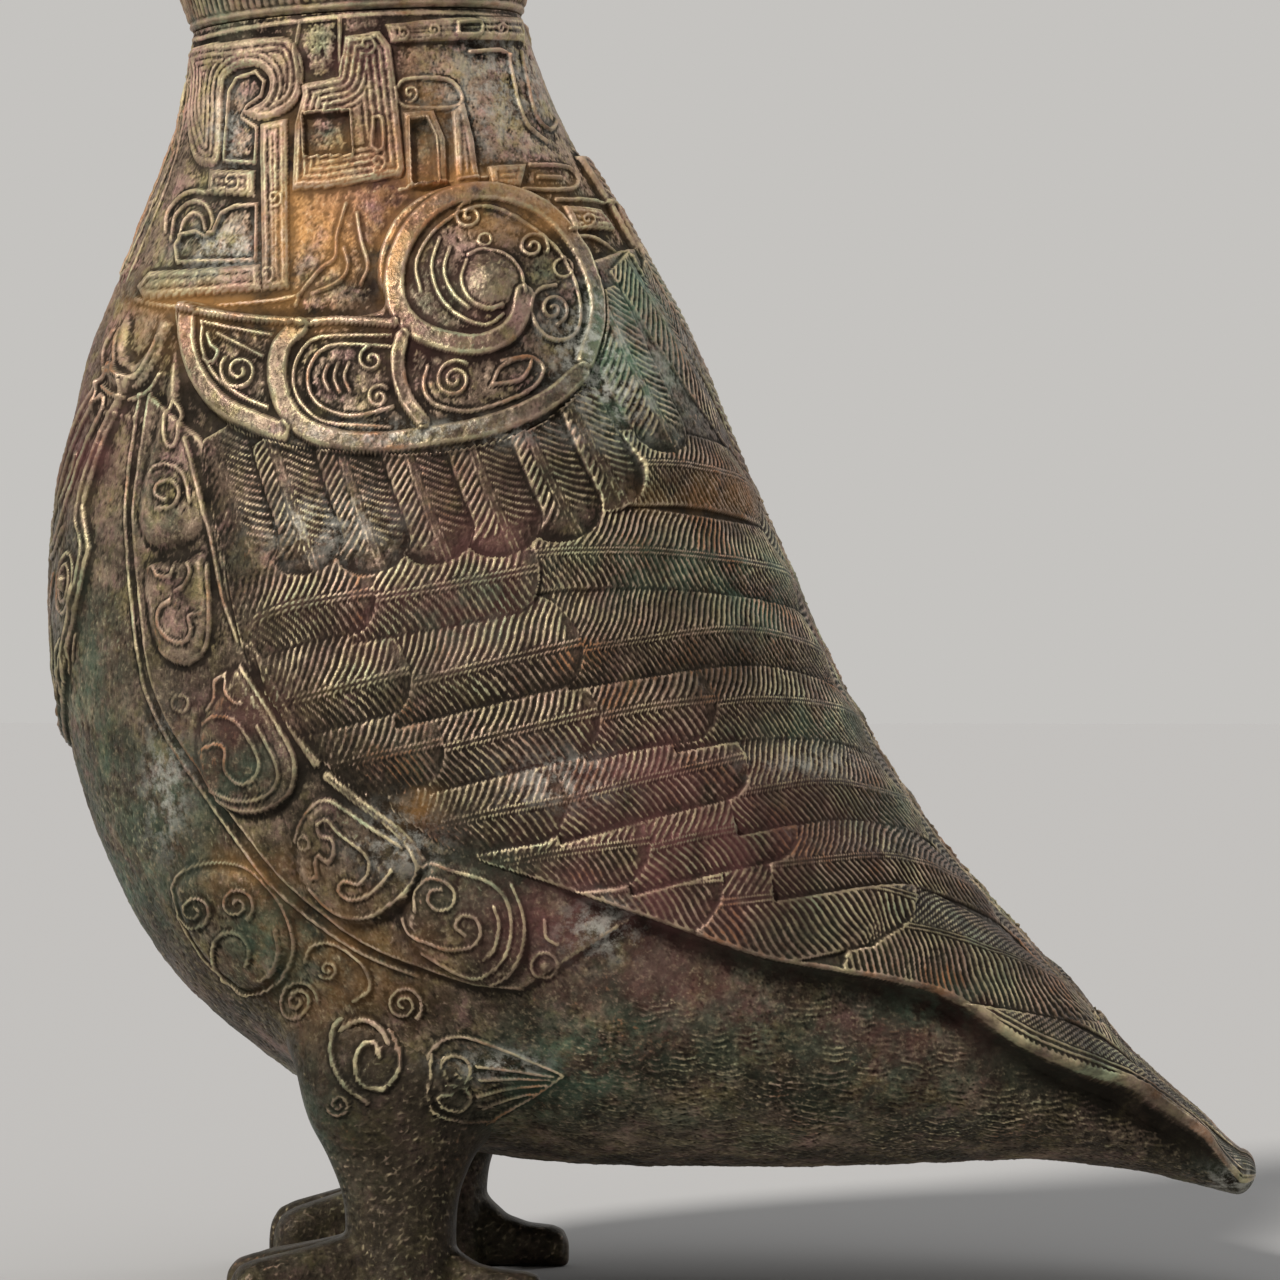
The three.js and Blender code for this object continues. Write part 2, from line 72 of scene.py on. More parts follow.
def polar(outline):
    points = np.array([side_point(*p) for p in outline])
    dx, dz = PIVOT[0] - points[:, 0], PIVOT[1] - points[:, 1]
    return np.arctan2(dz, dx), np.hypot(dx, dz)


def smooth(knots, values, at):
    """Cubic through the knots, with the mean of the neighbours as slope."""
    at = np.clip(at, knots[0], knots[-1])
    i = np.clip(np.searchsorted(knots, at) - 1, 0, len(knots) - 2)
    order = np.arange(len(knots))
    before, after = np.maximum(order - 1, 0), np.minimum(order + 1, len(knots) - 1)
    slope = (values[after] - values[before]) / (knots[after] - knots[before])
    span = knots[i + 1] - knots[i]
    t = (at - knots[i]) / span
    start = (1 + 2 * t) * (1 - t) ** 2 * values[i] + t * (1 - t) ** 2 * span * slope[i]
    return start + t * t * (3 - 2 * t) * values[i + 1] + t * t * (t - 1) * span * slope[i + 1]


def ease(x, low, high):
    t = np.clip((x - low) / (high - low), 0, 1)
    return t * t * (3 - 2 * t)


def fuller(wave, power=FULLNESS):
    """Sine or cosine for an oval that fills out towards a box."""
    return np.sign(wave) * np.abs(wave) ** power


BACK_POLAR, FRONT_POLAR = polar(BACK), polar(FRONT)
BREADTH_KNOTS = np.radians([b[0] for b in BREADTH]), np.array([b[1] for b in BREADTH]) * WIDTH / 2
FIRST, LAST = FRONT_POLAR[0][0], BACK_POLAR[0][-1]


def surface(phi, ang, inset=0.0):
    """Left half of the vessel: ang runs from the back (0) over the left side to the breast (pi)."""
    back = smooth(*BACK_POLAR, phi) + inset
    front = smooth(*FRONT_POLAR, phi) - inset
    radius = (back + front) / 2 - (front - back) / 2 * np.cos(ang)
    breadth = (smooth(*BREADTH_KNOTS, phi) - inset) * np.abs(fuller(np.sin(ang)))
    return np.stack([PIVOT[0] - radius * np.cos(phi), -breadth, PIVOT[1] - radius * np.sin(phi)], -1)


def body_gap(points):
    """Rough distance of points from the vessel wall, negative inside."""
    dx, dz = PIVOT[0] - points[..., 0], PIVOT[1] - points[..., 2]
    phi = np.arctan2(dz, dx)
    back, front = smooth(*BACK_POLAR, phi), smooth(*FRONT_POLAR, phi)
    breadth = smooth(*BREADTH_KNOTS, phi)
    along = (np.hypot(dx, dz) - (back + front) / 2) / ((front - back) / 2)
    across = np.abs(points[..., 1] / breadth) ** (1 / FULLNESS)
    return (np.hypot(along, across) - 1) * np.minimum((front - back) / 2, breadth)


# The photo's camera
PHOTO, SENSOR = 1280, 36.0
MIDDLE_PX, GROUND_PX = 661.5, 1284  # photo column of the object's middle and row of the ground
AZIMUTH = math.radians(3.5)
DISTANCE, LENS, EYE_LEVEL = 1342.0, 171.5, 141.7
TARGET = np.array([PX * (PHOTO / 2 - MIDDLE_PX) + SHIFT, 0.0, EYE_LEVEL])
EYE = TARGET + DISTANCE * np.array([math.sin(AZIMUTH), -math.cos(AZIMUTH), 0.0])


def project(points):
    """Photo pixel of a point in millimetres."""
    rel = points - EYE
    depth = rel[..., 0] * -math.sin(AZIMUTH) + rel[..., 1] * math.cos(AZIMUTH)
    right = rel[..., 0] * math.cos(AZIMUTH) + rel[..., 1] * math.sin(AZIMUTH)
    scale = PHOTO * LENS / SENSOR / depth
    return np.stack([PHOTO / 2 + right * scale, PHOTO / 2 - rel[..., 2] * scale], -1)


# Flat chart of the left half, in photo pixels at the side and unrolled over the back and the breast
PIVOT_PX = np.array([MIDDLE_PX + (PIVOT[0] - SHIFT) / PX, GROUND_PX - PIVOT[1] / PX])
SEARCH_ROUNDS, NUDGE, LEAST_SLOPE = 14, 1e-3, 1e3
PHI_STEP, ANG_STEP = 0.1, 0.25  # longest moves in one round
PHI_SLACK, ANG_EDGE = 0.02, 0.12


def unrolled(phi, ang, steps=24):
    """Chart radius of surface points."""
    t = np.linspace(0, 1, steps + 1)
    angs = math.pi / 2 + (ang[..., None] - math.pi / 2) * t
    path = surface(np.broadcast_to(phi[..., None], angs.shape), angs)
    length = np.linalg.norm(np.diff(path, axis=-2), axis=-1).sum(-1)
    middle = (smooth(*BACK_POLAR, phi) + smooth(*FRONT_POLAR, phi)) / 2
    return (middle + np.sign(ang - math.pi / 2) * length) / PX


def chart(phi, rho):
    return np.stack([PIVOT_PX[0] - rho * np.cos(phi), PIVOT_PX[1] + rho * np.sin(phi)], -1)


def chart_of_photo(px):
    """Chart places of photo pixels that lie on the vessel."""
    px = np.asarray(px, float)
    phi = np.arctan2(px[:, 1] - PIVOT_PX[1], PIVOT_PX[0] - px[:, 0])
    phi = np.clip(phi, FIRST, LAST)
    ang = np.full(len(px), math.pi / 2)
    for _ in range(SEARCH_ROUNDS):
        here = project(surface(phi, ang))
        miss = px - here
        a = (project(surface(phi + NUDGE, ang)) - here) / NUDGE
        b = (project(surface(phi, ang + NUDGE)) - here) / NUDGE
        det = a[:, 0] * b[:, 1] - a[:, 1] * b[:, 0]
        det = np.where(np.abs(det) < LEAST_SLOPE, np.where(det < 0, -LEAST_SLOPE, LEAST_SLOPE), det)
        dphi = (miss[:, 0] * b[:, 1] - miss[:, 1] * b[:, 0]) / det
        dang = (a[:, 0] * miss[:, 1] - a[:, 1] * miss[:, 0]) / det
        phi = np.clip(phi + np.clip(dphi, -PHI_STEP, PHI_STEP), FIRST - PHI_SLACK, LAST + PHI_SLACK)
        ang = np.clip(ang + np.clip(dang, -ANG_STEP, ANG_STEP), ANG_EDGE, math.pi - ANG_EDGE)
    return chart(phi, unrolled(phi, ang))


def curve(points, closed, step):
    """Smooth line through points, sampled evenly enough to draw with."""
    p = np.asarray(points, float)
    n = len(p)
    if n < 3:
        count = max(int(np.linalg.norm(p[-1] - p[0]) / step), 2)
        return p[0] + (p[-1] - p[0]) * np.linspace(0, 1, count)[:, None]
    out = []
    for i in range(n if closed else n - 1):
        p0 = p[(i - 1) % n] if closed or i > 0 else 2 * p[0] - p[1]
        p1, p2 = p[i], p[(i + 1) % n]
        p3 = p[(i + 2) % n] if closed or i + 2 < n else 2 * p[-1] - p[-2]
        count = max(int(np.linalg.norm(p2 - p1) / step), 2)
        t = np.linspace(0, 1, count, endpoint=False)[:, None]
        out.append(0.5 * (2 * p1 + (p2 - p0) * t + (2 * p0 - 5 * p1 + 4 * p2 - p3) * t * t
                          + (3 * p1 - p0 - 3 * p2 + p3) * t ** 3))
    out.append(p[:1] if closed else p[-1:])
    return np.concatenate(out)


def blur(a, radius):
    """Three box passes."""
    for _ in range(3):
        for axis in (0, 1):
            pad = [(radius + 1, radius) if i == axis else (0, 0) for i in (0, 1)]
            c = np.cumsum(np.pad(a, pad, mode="edge"), axis=axis, dtype=np.float64)
            n = a.shape[axis]
            a = ((np.take(c, np.arange(2 * radius + 1, 2 * radius + 1 + n), axis)
                  - np.take(c, np.arange(n), axis)) / (2 * radius + 1)).astype(np.float32)
    return a


def oval(centre, reach, turn, squash=1.0):
    """Points round a centre."""
    return np.stack([centre[0] + reach * np.cos(turn), centre[1] + squash * reach * np.sin(turn)], -1)


LINE_CELLS = 8  # cells between the points of a drawn line
SOFT_CELLS = 1.2  # how far a raised line's foot spreads
SPIRAL_HEART = 0.16  # share of a spiral's radius where its line starts
SPIRAL_POINTS, RING_POINTS, BOSS_POINTS = 20, 28, 24  # points of a turn
FIRST_CUT = 0.3  # share of the pitch before the first cut line of a plate
# Feather form: rounded share of the tip, fall of the lower and upper vane, rim along the edge
TIP_SHARE, LOWER_FALL, UPPER_FALL, EDGE_RIM = 0.8, 0.62, 0.75, 0.22
# Sway of the barbs in shares of their pitch, and its wave lengths
LONG_SWAY, SHORT_SWAY, LONG_RUN, SHORT_RUN, CROSS_RUN = 0.2, 0.15, 19, 7, 41
BARB_SHARPNESS = 1.4
# In shares of the pitch: where the barbs begin and end, and place and half width of the shaft and the rim
BARBS_BEGIN, BARBS_END = (0.55, 0.85), (0.2, 0.55)
SHAFT_AT, SHAFT_HALF, RIM_AT, RIM_HALF = 0.36, 0.17, 0.25, 0.2
AXIS_END = 0.01


class Canvas:
    """Height field, in millimetres, on which cast ornament is drawn."""

    def __init__(self, low, high, scale, place=None):
        self.low = np.asarray(low, float)
        self.scale = scale
        self.cols, self.rows = np.ceil((np.asarray(high, float) - self.low) * scale).astype(int)
        self.place = place
        self.fine = np.zeros((self.rows, self.cols), np.float32)

    def line(self, points, closed=False, rounded=True, flat=False):
        """Cells of a line given in drawing units, or in chart units when flat."""
        line = curve(points, closed, LINE_CELLS / self.scale) if rounded else np.asarray(points, float)
        if not rounded and closed:
            line = np.concatenate([line, line[:1]])
        if self.place and not flat:
            line = self.place(line)
        return (line - self.low) * self.scale

    def near(self, line, reach):
        """Window round a line: its slices, distance, place along the line and side."""
        pad = reach * self.scale
        low = np.maximum((line.min(0) - pad).astype(int), 0)
        high = np.minimum((line.max(0) + pad).astype(int) + 2, (self.cols, self.rows))
        high = np.maximum(high, low)
        window = (slice(low[1], high[1]), slice(low[0], high[0]))
        shape = (high[1] - low[1], high[0] - low[0])
        best = np.full(shape, 1e9, np.float32)
        along = np.zeros(shape, np.float32)
        side = np.zeros(shape, np.float32)
        start = 0.0
        for a, b in zip(line[:-1] - low, line[1:] - low):
            d = b - a
            size = math.hypot(*d)
            if size < 1e-6:
                continue
            x0, x1 = int(max(min(a[0], b[0]) - pad, 0)), int(min(max(a[0], b[0]) + pad + 2, shape[1]))
            y0, y1 = int(max(min(a[1], b[1]) - pad, 0)), int(min(max(a[1], b[1]) + pad + 2, shape[0]))
            if x1 > x0 and y1 > y0:
                y, x = np.ogrid[y0:y1, x0:x1]
                t = ((x - a[0]) * d[0] + (y - a[1]) * d[1]) / size ** 2
                held = np.clip(t, 0, 1)
                dist = np.hypot(x - a[0] - held * d[0], y - a[1] - held * d[1])
                part = (slice(y0, y1), slice(x0, x1))
                closer = dist < best[part]
                best[part][closer] = dist[closer]
                along[part][closer] = (start + held * size)[closer]
                cross = d[0] * (y - a[1]) - d[1] * (x - a[0])
                side[part][closer] = np.sign(cross)[closer]
            start += size
        return window, best / self.scale, along / self.scale, side

    def inside(self, line, window):
        y, x = np.ogrid[window[0].start:window[0].stop, window[1].start:window[1].stop]
        hit = np.zeros((y.shape[0], x.shape[1]), bool)
        for (ax, ay), (bx, by) in zip(line[:-1], line[1:]):
            if ay != by:
                hit ^= ((y < ay) != (y < by)) & (x < (bx - ax) * (y - ay) / (by - ay) + ax)
        return hit

    def ridge(self, points, width, height, closed=False, rounded=True, flat=False, crest=0.0):
        """Raised line with a flat crest of the given share; a negative height cuts a groove."""
        window, dist, _, _ = self.near(self.line(points, closed, rounded, flat), width)
        half = width / 2 + SOFT_CELLS / self.scale
        self.fine[window] += height * (1 - ease(dist, crest * half, half))

    def plate(self, points, height, bevel, pitch=0.0, depth=0.0, rounded=False, reach=40.0):
        """Field that replaces what was there, with cut lines along its outline if it has a pitch."""
        line = self.line(points, True, rounded)
        window, dist, _, _ = self.near(line, reach)
        hit = self.inside(line, window)
        rise = height * ease(dist, 0, bevel)
        if pitch:
            wave = 0.5 - 0.5 * np.cos(2 * math.pi * np.minimum(dist, reach) / pitch)
            rise = rise - depth * wave * (dist > pitch * FIRST_CUT)
        self.fine[window] = np.where(hit, rise, self.fine[window])

    def spiral(self, centre, radius, turns, start, width, height):
        t = np.linspace(0, 1, int(SPIRAL_POINTS * turns) + 6)
        turn = math.radians(start) + 2 * math.pi * turns * t
        self.ridge(oval(centre, radius * (SPIRAL_HEART + (1 - SPIRAL_HEART) * t), turn), width, height)

    def ring(self, centre, radius, width, height):
        self.ridge(oval(centre, radius, np.linspace(0, 2 * math.pi, RING_POINTS)), width, height)

    def boss(self, centre, radius, height, squash=1.0):
        """Dome added to what is there."""
        turn = np.linspace(0, 2 * math.pi, BOSS_POINTS, endpoint=False)
        line = self.line(oval(centre, radius, turn, squash), True, False)
        window, dist, _, _ = self.near(line, radius)
        dome = height * np.sin(np.minimum(dist / radius, 1) * math.pi / 2)
        self.fine[window] += np.where(self.inside(line, window), dome, 0)

    def feather(self, axis, upper, lower, pitch, slant=0.6, peak=2.0, root=0.3, barb=0.36, pad=0.0,
                shaft=0.4):
        """Feather laid over what is there: two sloping vanes with barbs and a double shaft."""
        line = self.line(axis)
        window, dist, along, side = self.near(line, max(upper, lower) + pitch)
        total = np.linalg.norm(np.diff(line, axis=0), axis=1).sum() / self.scale
        full = np.where(side > 0, lower, upper)
        tip = np.clip((along - (total - TIP_SHARE * full)) / (TIP_SHARE * full), 0, 1)
        width = full * np.sqrt(1 - tip * tip)
        hit = (dist < width) & (along > AXIS_END) & (along < total - AXIS_END)
        rise = peak * (1 - np.where(side > 0, LOWER_FALL, UPPER_FALL) * dist / full)
        sway = LONG_SWAY * pitch * np.sin(along / LONG_RUN + line[0, 0])
        sway = sway + SHORT_SWAY * pitch * np.sin(dist / SHORT_RUN + along / CROSS_RUN)
        wave = 0.5 + 0.5 * np.cos(2 * math.pi * (along - slant * dist + sway) / pitch)
        vane = ease(dist / pitch, *BARBS_BEGIN) * ease((width - dist) / pitch, *BARBS_END)
        if pad:
            vane = vane * ease(total - along, 0.5 * pad, pad)
        rise = rise + barb * wave ** BARB_SHARPNESS * vane
        rise = rise + shaft * np.exp(-((dist / pitch - SHAFT_AT) / SHAFT_HALF) ** 2)
        rise = rise + EDGE_RIM * np.exp(-(((width - dist) / pitch - RIM_AT) / RIM_HALF) ** 2)
        self.fine[window] = np.where(hit, root + rise, self.fine[window])

    def mirror(self):
        self.fine = np.maximum(self.fine, self.fine[:, ::-1])

    def roughen(self, radii):
        """Uneven cast skin: size of the grain in cells and its height."""
        for radius, height in radii:
            grain = blur(rng.standard_normal(self.fine.shape, np.float32), radius)
            self.fine += height * grain / grain.std()

    def sample(self, raster, uv):
        p = (uv - self.low) * self.scale
        x = np.clip(p[..., 0], 0, self.cols - 1.001)
        y = np.clip(p[..., 1], 0, self.rows - 1.001)
        i, j = y.astype(int), x.astype(int)
        fy, fx = (y - i).astype(np.float32), (x - j).astype(np.float32)
        top = raster[i, j] * (1 - fx) + raster[i, j + 1] * fx
        low = raster[i + 1, j] * (1 - fx) + raster[i + 1, j + 1] * fx
        return top * (1 - fy) + low * fy


def wear_and_shade(height, edges, hollows):
    """Rubbing with painted highlight and shade: half at a level place, more on edges that stand out, less in
    hollows.
    """
    total = 0.5
    for radius, gain in edges:
        total = total + gain * (height - blur(height, radius))
    for radius, gain in hollows:
        total = total - gain * np.maximum(blur(height, radius) - height, 0)
    return np.clip(total, 0, 1)


# Vessel ornament
MARGIN, CAST_CELLS = 20, 2.0  # pixels round the chart, cells per pixel
phis = np.linspace(FIRST, LAST, 200)
rho_back = unrolled(phis, np.zeros_like(phis))
rho_front = unrolled(phis, np.full_like(phis, math.pi))
outline = np.concatenate([chart(phis, rho_back), chart(phis, rho_front)])
cast = Canvas(outline.min(0) - MARGIN, outline.max(0) + MARGIN, CAST_CELLS, chart_of_photo)
cell_v, cell_u = np.mgrid[0:cast.rows, 0:cast.cols].astype(np.float32)
cell_u = cell_u / cast.scale + cast.low[0]
cell_v = cell_v / cast.scale + cast.low[1]
cell_phi = np.arctan2(cell_v - PIVOT_PX[1], PIVOT_PX[0] - cell_u)
cell_rho = np.hypot(cell_v - PIVOT_PX[1], PIVOT_PX[0] - cell_u)
from_back = cell_rho - np.interp(cell_phi, phis, rho_back)


def breast(keel, v):
    """Chart place at a distance from the breast's middle line, for a height on it."""
    phi = np.interp(v, GROUND_PX - np.array([side_point(*p)[1] for p in FRONT]) / PX, FRONT_POLAR[0])
    rho = np.interp(phi, phis, rho_front) - keel
    return chart(np.asarray(phi), np.asarray(rho))


def breast_line(points):
    return [breast(k, v) for k, v in points]


# Regions of the separate castings
BODY, WING, COIL, TAIL, MASK = range(5)
WING_EDGE = [(205, 440), (212, 500), (226, 560), (240, 630), (262, 685), (300, 735), (345, 780),
             (390, 808), (440, 842), (480, 860), (560, 886), (640, 914), (700, 936), (760, 957),
             (830, 972), (890, 986), (940, 1004), (1000, 1045), (1062, 1076)]
TAIL_EDGE = [(1062, 1076), (1110, 1096), (1150, 1120), (1200, 1150), (1235, 1178), (1258, 1196)]
COIL_EDGE = [(184, 306), (240, 315), (300, 320), (368, 318), (386, 306), (378, 280), (383, 245), (403, 212),
             (440, 191), (485, 187), (530, 202), (568, 237), (591, 280), (599, 330), (587, 378), (556, 415),
             (512, 440), (450, 455), (380, 458), (300, 450), (245, 434), (206, 402), (188, 355)]
MASK_EDGE = [(0, 748), (50, 742), (95, 705), (150, 640), (178, 578), (152, 528), (170, 465), (190, 415),
             (145, 384), (90, 428), (48, 496), (0, 502)]
RUMP_TOP, SHOULDER_TOP = (1086, 960), (640, 250)
PAST_KEEL = -60  # the mask reaches over the breast's middle line
SPINE = 41  # half width of the strip along the back
TOWARDS_PIVOT, TAIL_BEYOND, PIVOT_BEYOND = 0.6, 120.0, 400
region = np.zeros((cast.rows, cast.cols), np.int8)


def mark(line, which, spine=0.0):
    """Number the cells inside a line as one region, clear of the spine."""
    low = np.maximum(line.min(0).astype(int) - 2, 0)
    high = np.minimum(line.max(0).astype(int) + 3, (cast.cols, cast.rows))
    window = (slice(low[1], high[1]), slice(low[0], high[0]))
    hit = cast.inside(line, window) & (from_back[window] > spine)
    region[window][hit] = which


pivot_cell = (PIVOT_PX - cast.low)[None] * cast.scale
wing_line = cast.line(WING_EDGE)
rump_top = cast.line([RUMP_TOP], rounded=False)
shoulder_top = cast.line([SHOULDER_TOP], rounded=False)
far_back = shoulder_top + TOWARDS_PIVOT * (pivot_cell - shoulder_top)
far_rump = rump_top + TOWARDS_PIVOT * (pivot_cell - rump_top)
mark(np.concatenate([wing_line, rump_top, far_rump, far_back, shoulder_top, wing_line[:1]]), WING, SPINE)
tail_line = cast.line(TAIL_EDGE)
tail_end = tail_line[-1:] + np.array([[TAIL_BEYOND, 0.0]])
pivot_far = pivot_cell + PIVOT_BEYOND
mark(np.concatenate([tail_line, tail_end, pivot_far, far_rump, rump_top, tail_line[:1]]), TAIL)
mark(cast.line(COIL_EDGE, True), COIL)
mask_back = [(PAST_KEEL, MASK_EDGE[-1][1]), (PAST_KEEL, MASK_EDGE[0][1])]
mark(cast.line(breast_line(MASK_EDGE + mask_back), True, False, True), MASK)

# Feathers, from the lowest row upward: axis, upper and lower half width, pitch of the barbs
FEATHERS = [
    ([(1000, 985), (1080, 1030), (1160, 1090), (1232, 1152), (1262, 1176)], 60, 34, 6),
    ([(930, 992), (1010, 1040), (1100, 1085), (1200, 1145), (1258, 1186)], 30, 40, 6),
    ([(840, 925), (905, 940), (960, 960), (1010, 980), (1075, 1012)], 60, 60, 6),
    ([(690, 905), (770, 900), (850, 895), (900, 910)], 60, 60, 7),
    ([(560, 890), (640, 885), (715, 880)], 60, 46, 7),
    ([(760, 870), (860, 865), (910, 875), (960, 900), (995, 920), (1084, 982)], 60, 34, 6),
    ([(620, 855), (700, 838), (785, 826)], 60, 38, 7),
    ([(480, 868), (560, 852), (645, 842)], 60, 38, 7),
    ([(720, 800), (805, 790), (860, 800), (910, 820), (950, 858), (1045, 946)], 60, 41, 6),
    ([(550, 805), (640, 782), (735, 762)], 60, 38, 7),
    ([(400, 836), (480, 815), (565, 800)], 60, 36, 7.5),
    ([(660, 716), (735, 707), (800, 712), (845, 728), (890, 762), (1004, 896)], 60, 40, 6),
    ([(575, 725), (640, 712), (705, 705)], 60, 38, 7),
    ([(420, 755), (505, 735), (595, 715)], 60, 38, 7.5),
    ([(290, 780), (360, 760), (445, 742)], 60, 38, 7.5),
    ([(560, 656), (625, 647), (710, 637), (770, 645), (835, 680), (935, 786)], 60, 36, 6),
    ([(390, 690), (480, 668), (578, 646)], 60, 38, 7.5),
    ([(270, 706), (340, 690), (412, 672)], 60, 36, 7.5),
    ([(530, 558), (580, 556), (660, 560), (780, 582), (840, 618), (895, 670)], 46, 36, 6.4),
    ([(350, 606), (440, 590), (536, 572)], 60, 38, 7.5),
    ([(226, 632), (300, 608), (378, 594)], 60, 36, 7.5),
    ([(600, 470), (680, 474), (760, 502), (826, 556)], 36, 40, 6),
]
COVERTS = [((650, 262), (764, 446), 30), ((615, 262), (720, 436), 34), ((590, 300), (666, 458), 36),
           ((560, 400), (620, 512), 38), ((520, 425), (576, 542), 40), ((466, 440), (516, 556), 40),
           ((405, 445), (450, 564), 36), ((340, 445), (386, 574), 36), ((275, 440), (320, 574), 36),
           ((214, 430), (258, 576), 36)]
FEATHER_BED, FEATHER_PEAK, SMOOTH_TIP = 0.9, 2.7, 16
COVERT_PITCH, COVERT_SLANT, COVERT_PEAK, COVERT_TIP, COVERT_SHAFT, COVERT_BOW = 8, 0.7, 1.8, 34, 0.15, 2
REAR_EDGE_STROKE = (9, 0.7)  # strokes are width in pixels and height in millimetres
SPINE_FIRST, SPINE_LAST, CHEVRONS, CHEVRON_RISE, CHEVRON_REACH = 0.25, 1.42, 90, 0.014, 0.85
CHEVRON_STROKE = (4, 0.32)
feathered = (region == WING) | (region == TAIL)
cast.fine[:] = np.where(feathered, FEATHER_BED, 0)
for axis, upper, lower, pitch in FEATHERS:
    cast.feather(axis, upper, lower, pitch, peak=FEATHER_PEAK, pad=SMOOTH_TIP if len(axis) == 3 else 0)
for top, tip, half in COVERTS:
    middle = ((top[0] + tip[0]) / 2 - COVERT_BOW, (top[1] + tip[1]) / 2)
    cast.feather([top, middle, tip], half, half, COVERT_PITCH, COVERT_SLANT, COVERT_PEAK, pad=COVERT_TIP,
                 shaft=COVERT_SHAFT)
cast.fine[:] = np.where(feathered, cast.fine, 0)
cast.ridge(WING_EDGE[10:] + TAIL_EDGE[1:], *REAR_EDGE_STROKE)
for phi in np.linspace(SPINE_FIRST, SPINE_LAST, CHEVRONS):
    rho = np.interp(phi, phis, rho_back)
    chevron = [chart(phi, rho), chart(phi - CHEVRON_RISE, rho + SPINE * CHEVRON_REACH)]
    cast.ridge(chevron, *CHEVRON_STROKE, flat=True)

# Neck: raised bands with nested lines round smooth fields
HEAD_SEAM = [(193, 33), (240, 22), (300, 14), (345, 9), (400, 6), (460, 6), (519, 12)]
RING_DROP, RING_STROKE = 7, (7, 0.7)
cast.ridge([(u, v + RING_DROP) for u, v in HEAD_SEAM], *RING_STROKE)
BANDS = [
    [(196, 48), (240, 40), (284, 36), (298, 46), (305, 66), (303, 94), (290, 112), (264, 122), (244, 114),
     (254, 106), (266, 98), (270, 82), (262, 70), (246, 68), (232, 76), (226, 90), (222, 160), (198, 164),
     (190, 128), (194, 80)],
    [(211, 169), (257, 170), (256, 198), (208, 196)],
    [(260, 124), (289, 118), (291, 290), (262, 292)],
    [(152, 271), (262, 264), (264, 292), (146, 301), (138, 288)],
    [(300, 84), (338, 76), (344, 36), (380, 30), (392, 46), (406, 170), (402, 178), (330, 190), (292, 192),
     (294, 126), (302, 96)],
    [(384, 24), (440, 18), (518, 17), (523, 44), (440, 42), (390, 45)],
    [(402, 112), (434, 110), (446, 140), (448, 187), (406, 189)],
    [(450, 112), (464, 102), (474, 140), (480, 186), (454, 188)],
    [(560, 206), (598, 210), (614, 234), (572, 233)],
    [(486, 166), (526, 164), (520, 190), (490, 191)],
]
BAND_HEIGHT, BAND_BEVEL, BAND_PITCH, BAND_CUT = 1.35, 3, 6.6, 0.26
for n, band in enumerate(BANDS):
    cast.plate(band, BAND_HEIGHT, BAND_BEVEL, BAND_PITCH, BAND_CUT, rounded=n == 0)
FIELDS = [[(178, 262), (176, 246), (184, 234), (196, 231), (206, 237), (214, 233), (222, 213), (236, 206),
           (257, 205), (256, 260)],
          [(304, 115), (350, 112), (353, 156), (306, 158)],
          [(409, 122), (426, 120), (435, 140), (438, 184), (412, 186)],
          [(230, 92), (238, 78), (256, 72), (265, 82), (262, 96), (248, 106), (242, 118), (257, 128),
           (256, 163), (225, 161)]]
FIELD_LEVEL, FIELD_STROKE = -0.1, (5, 0.9)
for field in FIELDS:
    cast.plate(field, FIELD_LEVEL, BAND_BEVEL)
    cast.ridge(field, *FIELD_STROKE, True, False)
NECK_LINES = [
    [(172, 240), (176, 217), (191, 202), (206, 205), (213, 222), (210, 234)],
    [(181, 236), (185, 222), (194, 213), (202, 217), (205, 229)],
    [(166, 232), (170, 210), (189, 192), (212, 194)],
    [(396, 90), (404, 80), (430, 78), (452, 82), (462, 100), (448, 108), (404, 106), (396, 90)],
    [(520, 52), (528, 90), (536, 118), (550, 130), (556, 122)],
    [(508, 56), (516, 94), (526, 124), (546, 142)],
    [(470, 52), (500, 50), (508, 56)],
    [(530, 165), (568, 168), (574, 188), (522, 190)],
    [(538, 177), (560, 178)],
    [(556, 200), (600, 203), (624, 228), (636, 258)],
    [(560, 240), (590, 238), (614, 254), (632, 282)],
    [(136, 300), (180, 307), (262, 302), (300, 296)],
    [(296, 305), (305, 288), (322, 268), (335, 258), (337, 236), (346, 204)],
    [(344, 249), (348, 266), (340, 281), (313, 294)],
    [(357, 214), (361, 240), (368, 266), (361, 284)],
    [(373, 120), (373, 150), (383, 150), (382, 120), (373, 120)],
    [(456, 24), (476, 23), (477, 35), (457, 36), (456, 24)],
    [(300, 76), (296, 50), (300, 22)], [(340, 72), (340, 20)],
    [(400, 190), (440, 184), (486, 178)],
]
NECK_STROKE = (6, 0.8)
for line in NECK_LINES:
    cast.ridge(line, *NECK_STROKE)
NECK_SPIRALS = [((367, 46), 10), ((378, 164), 9), ((410, 93), 9), ((276, 200), 9), ((268, 275), 9),
                ((234, 183), 10), ((402, 34), 7), ((432, 31), 7), ((498, 30), 7), ((584, 222), 8)]
NECK_TURNS, NECK_START, NECK_SPIRAL_STROKE = 1.2, 40, (3.6, 0.4)
for centre, radius in NECK_SPIRALS:
    cast.spiral(centre, radius, NECK_TURNS, NECK_START, *NECK_SPIRAL_STROKE)
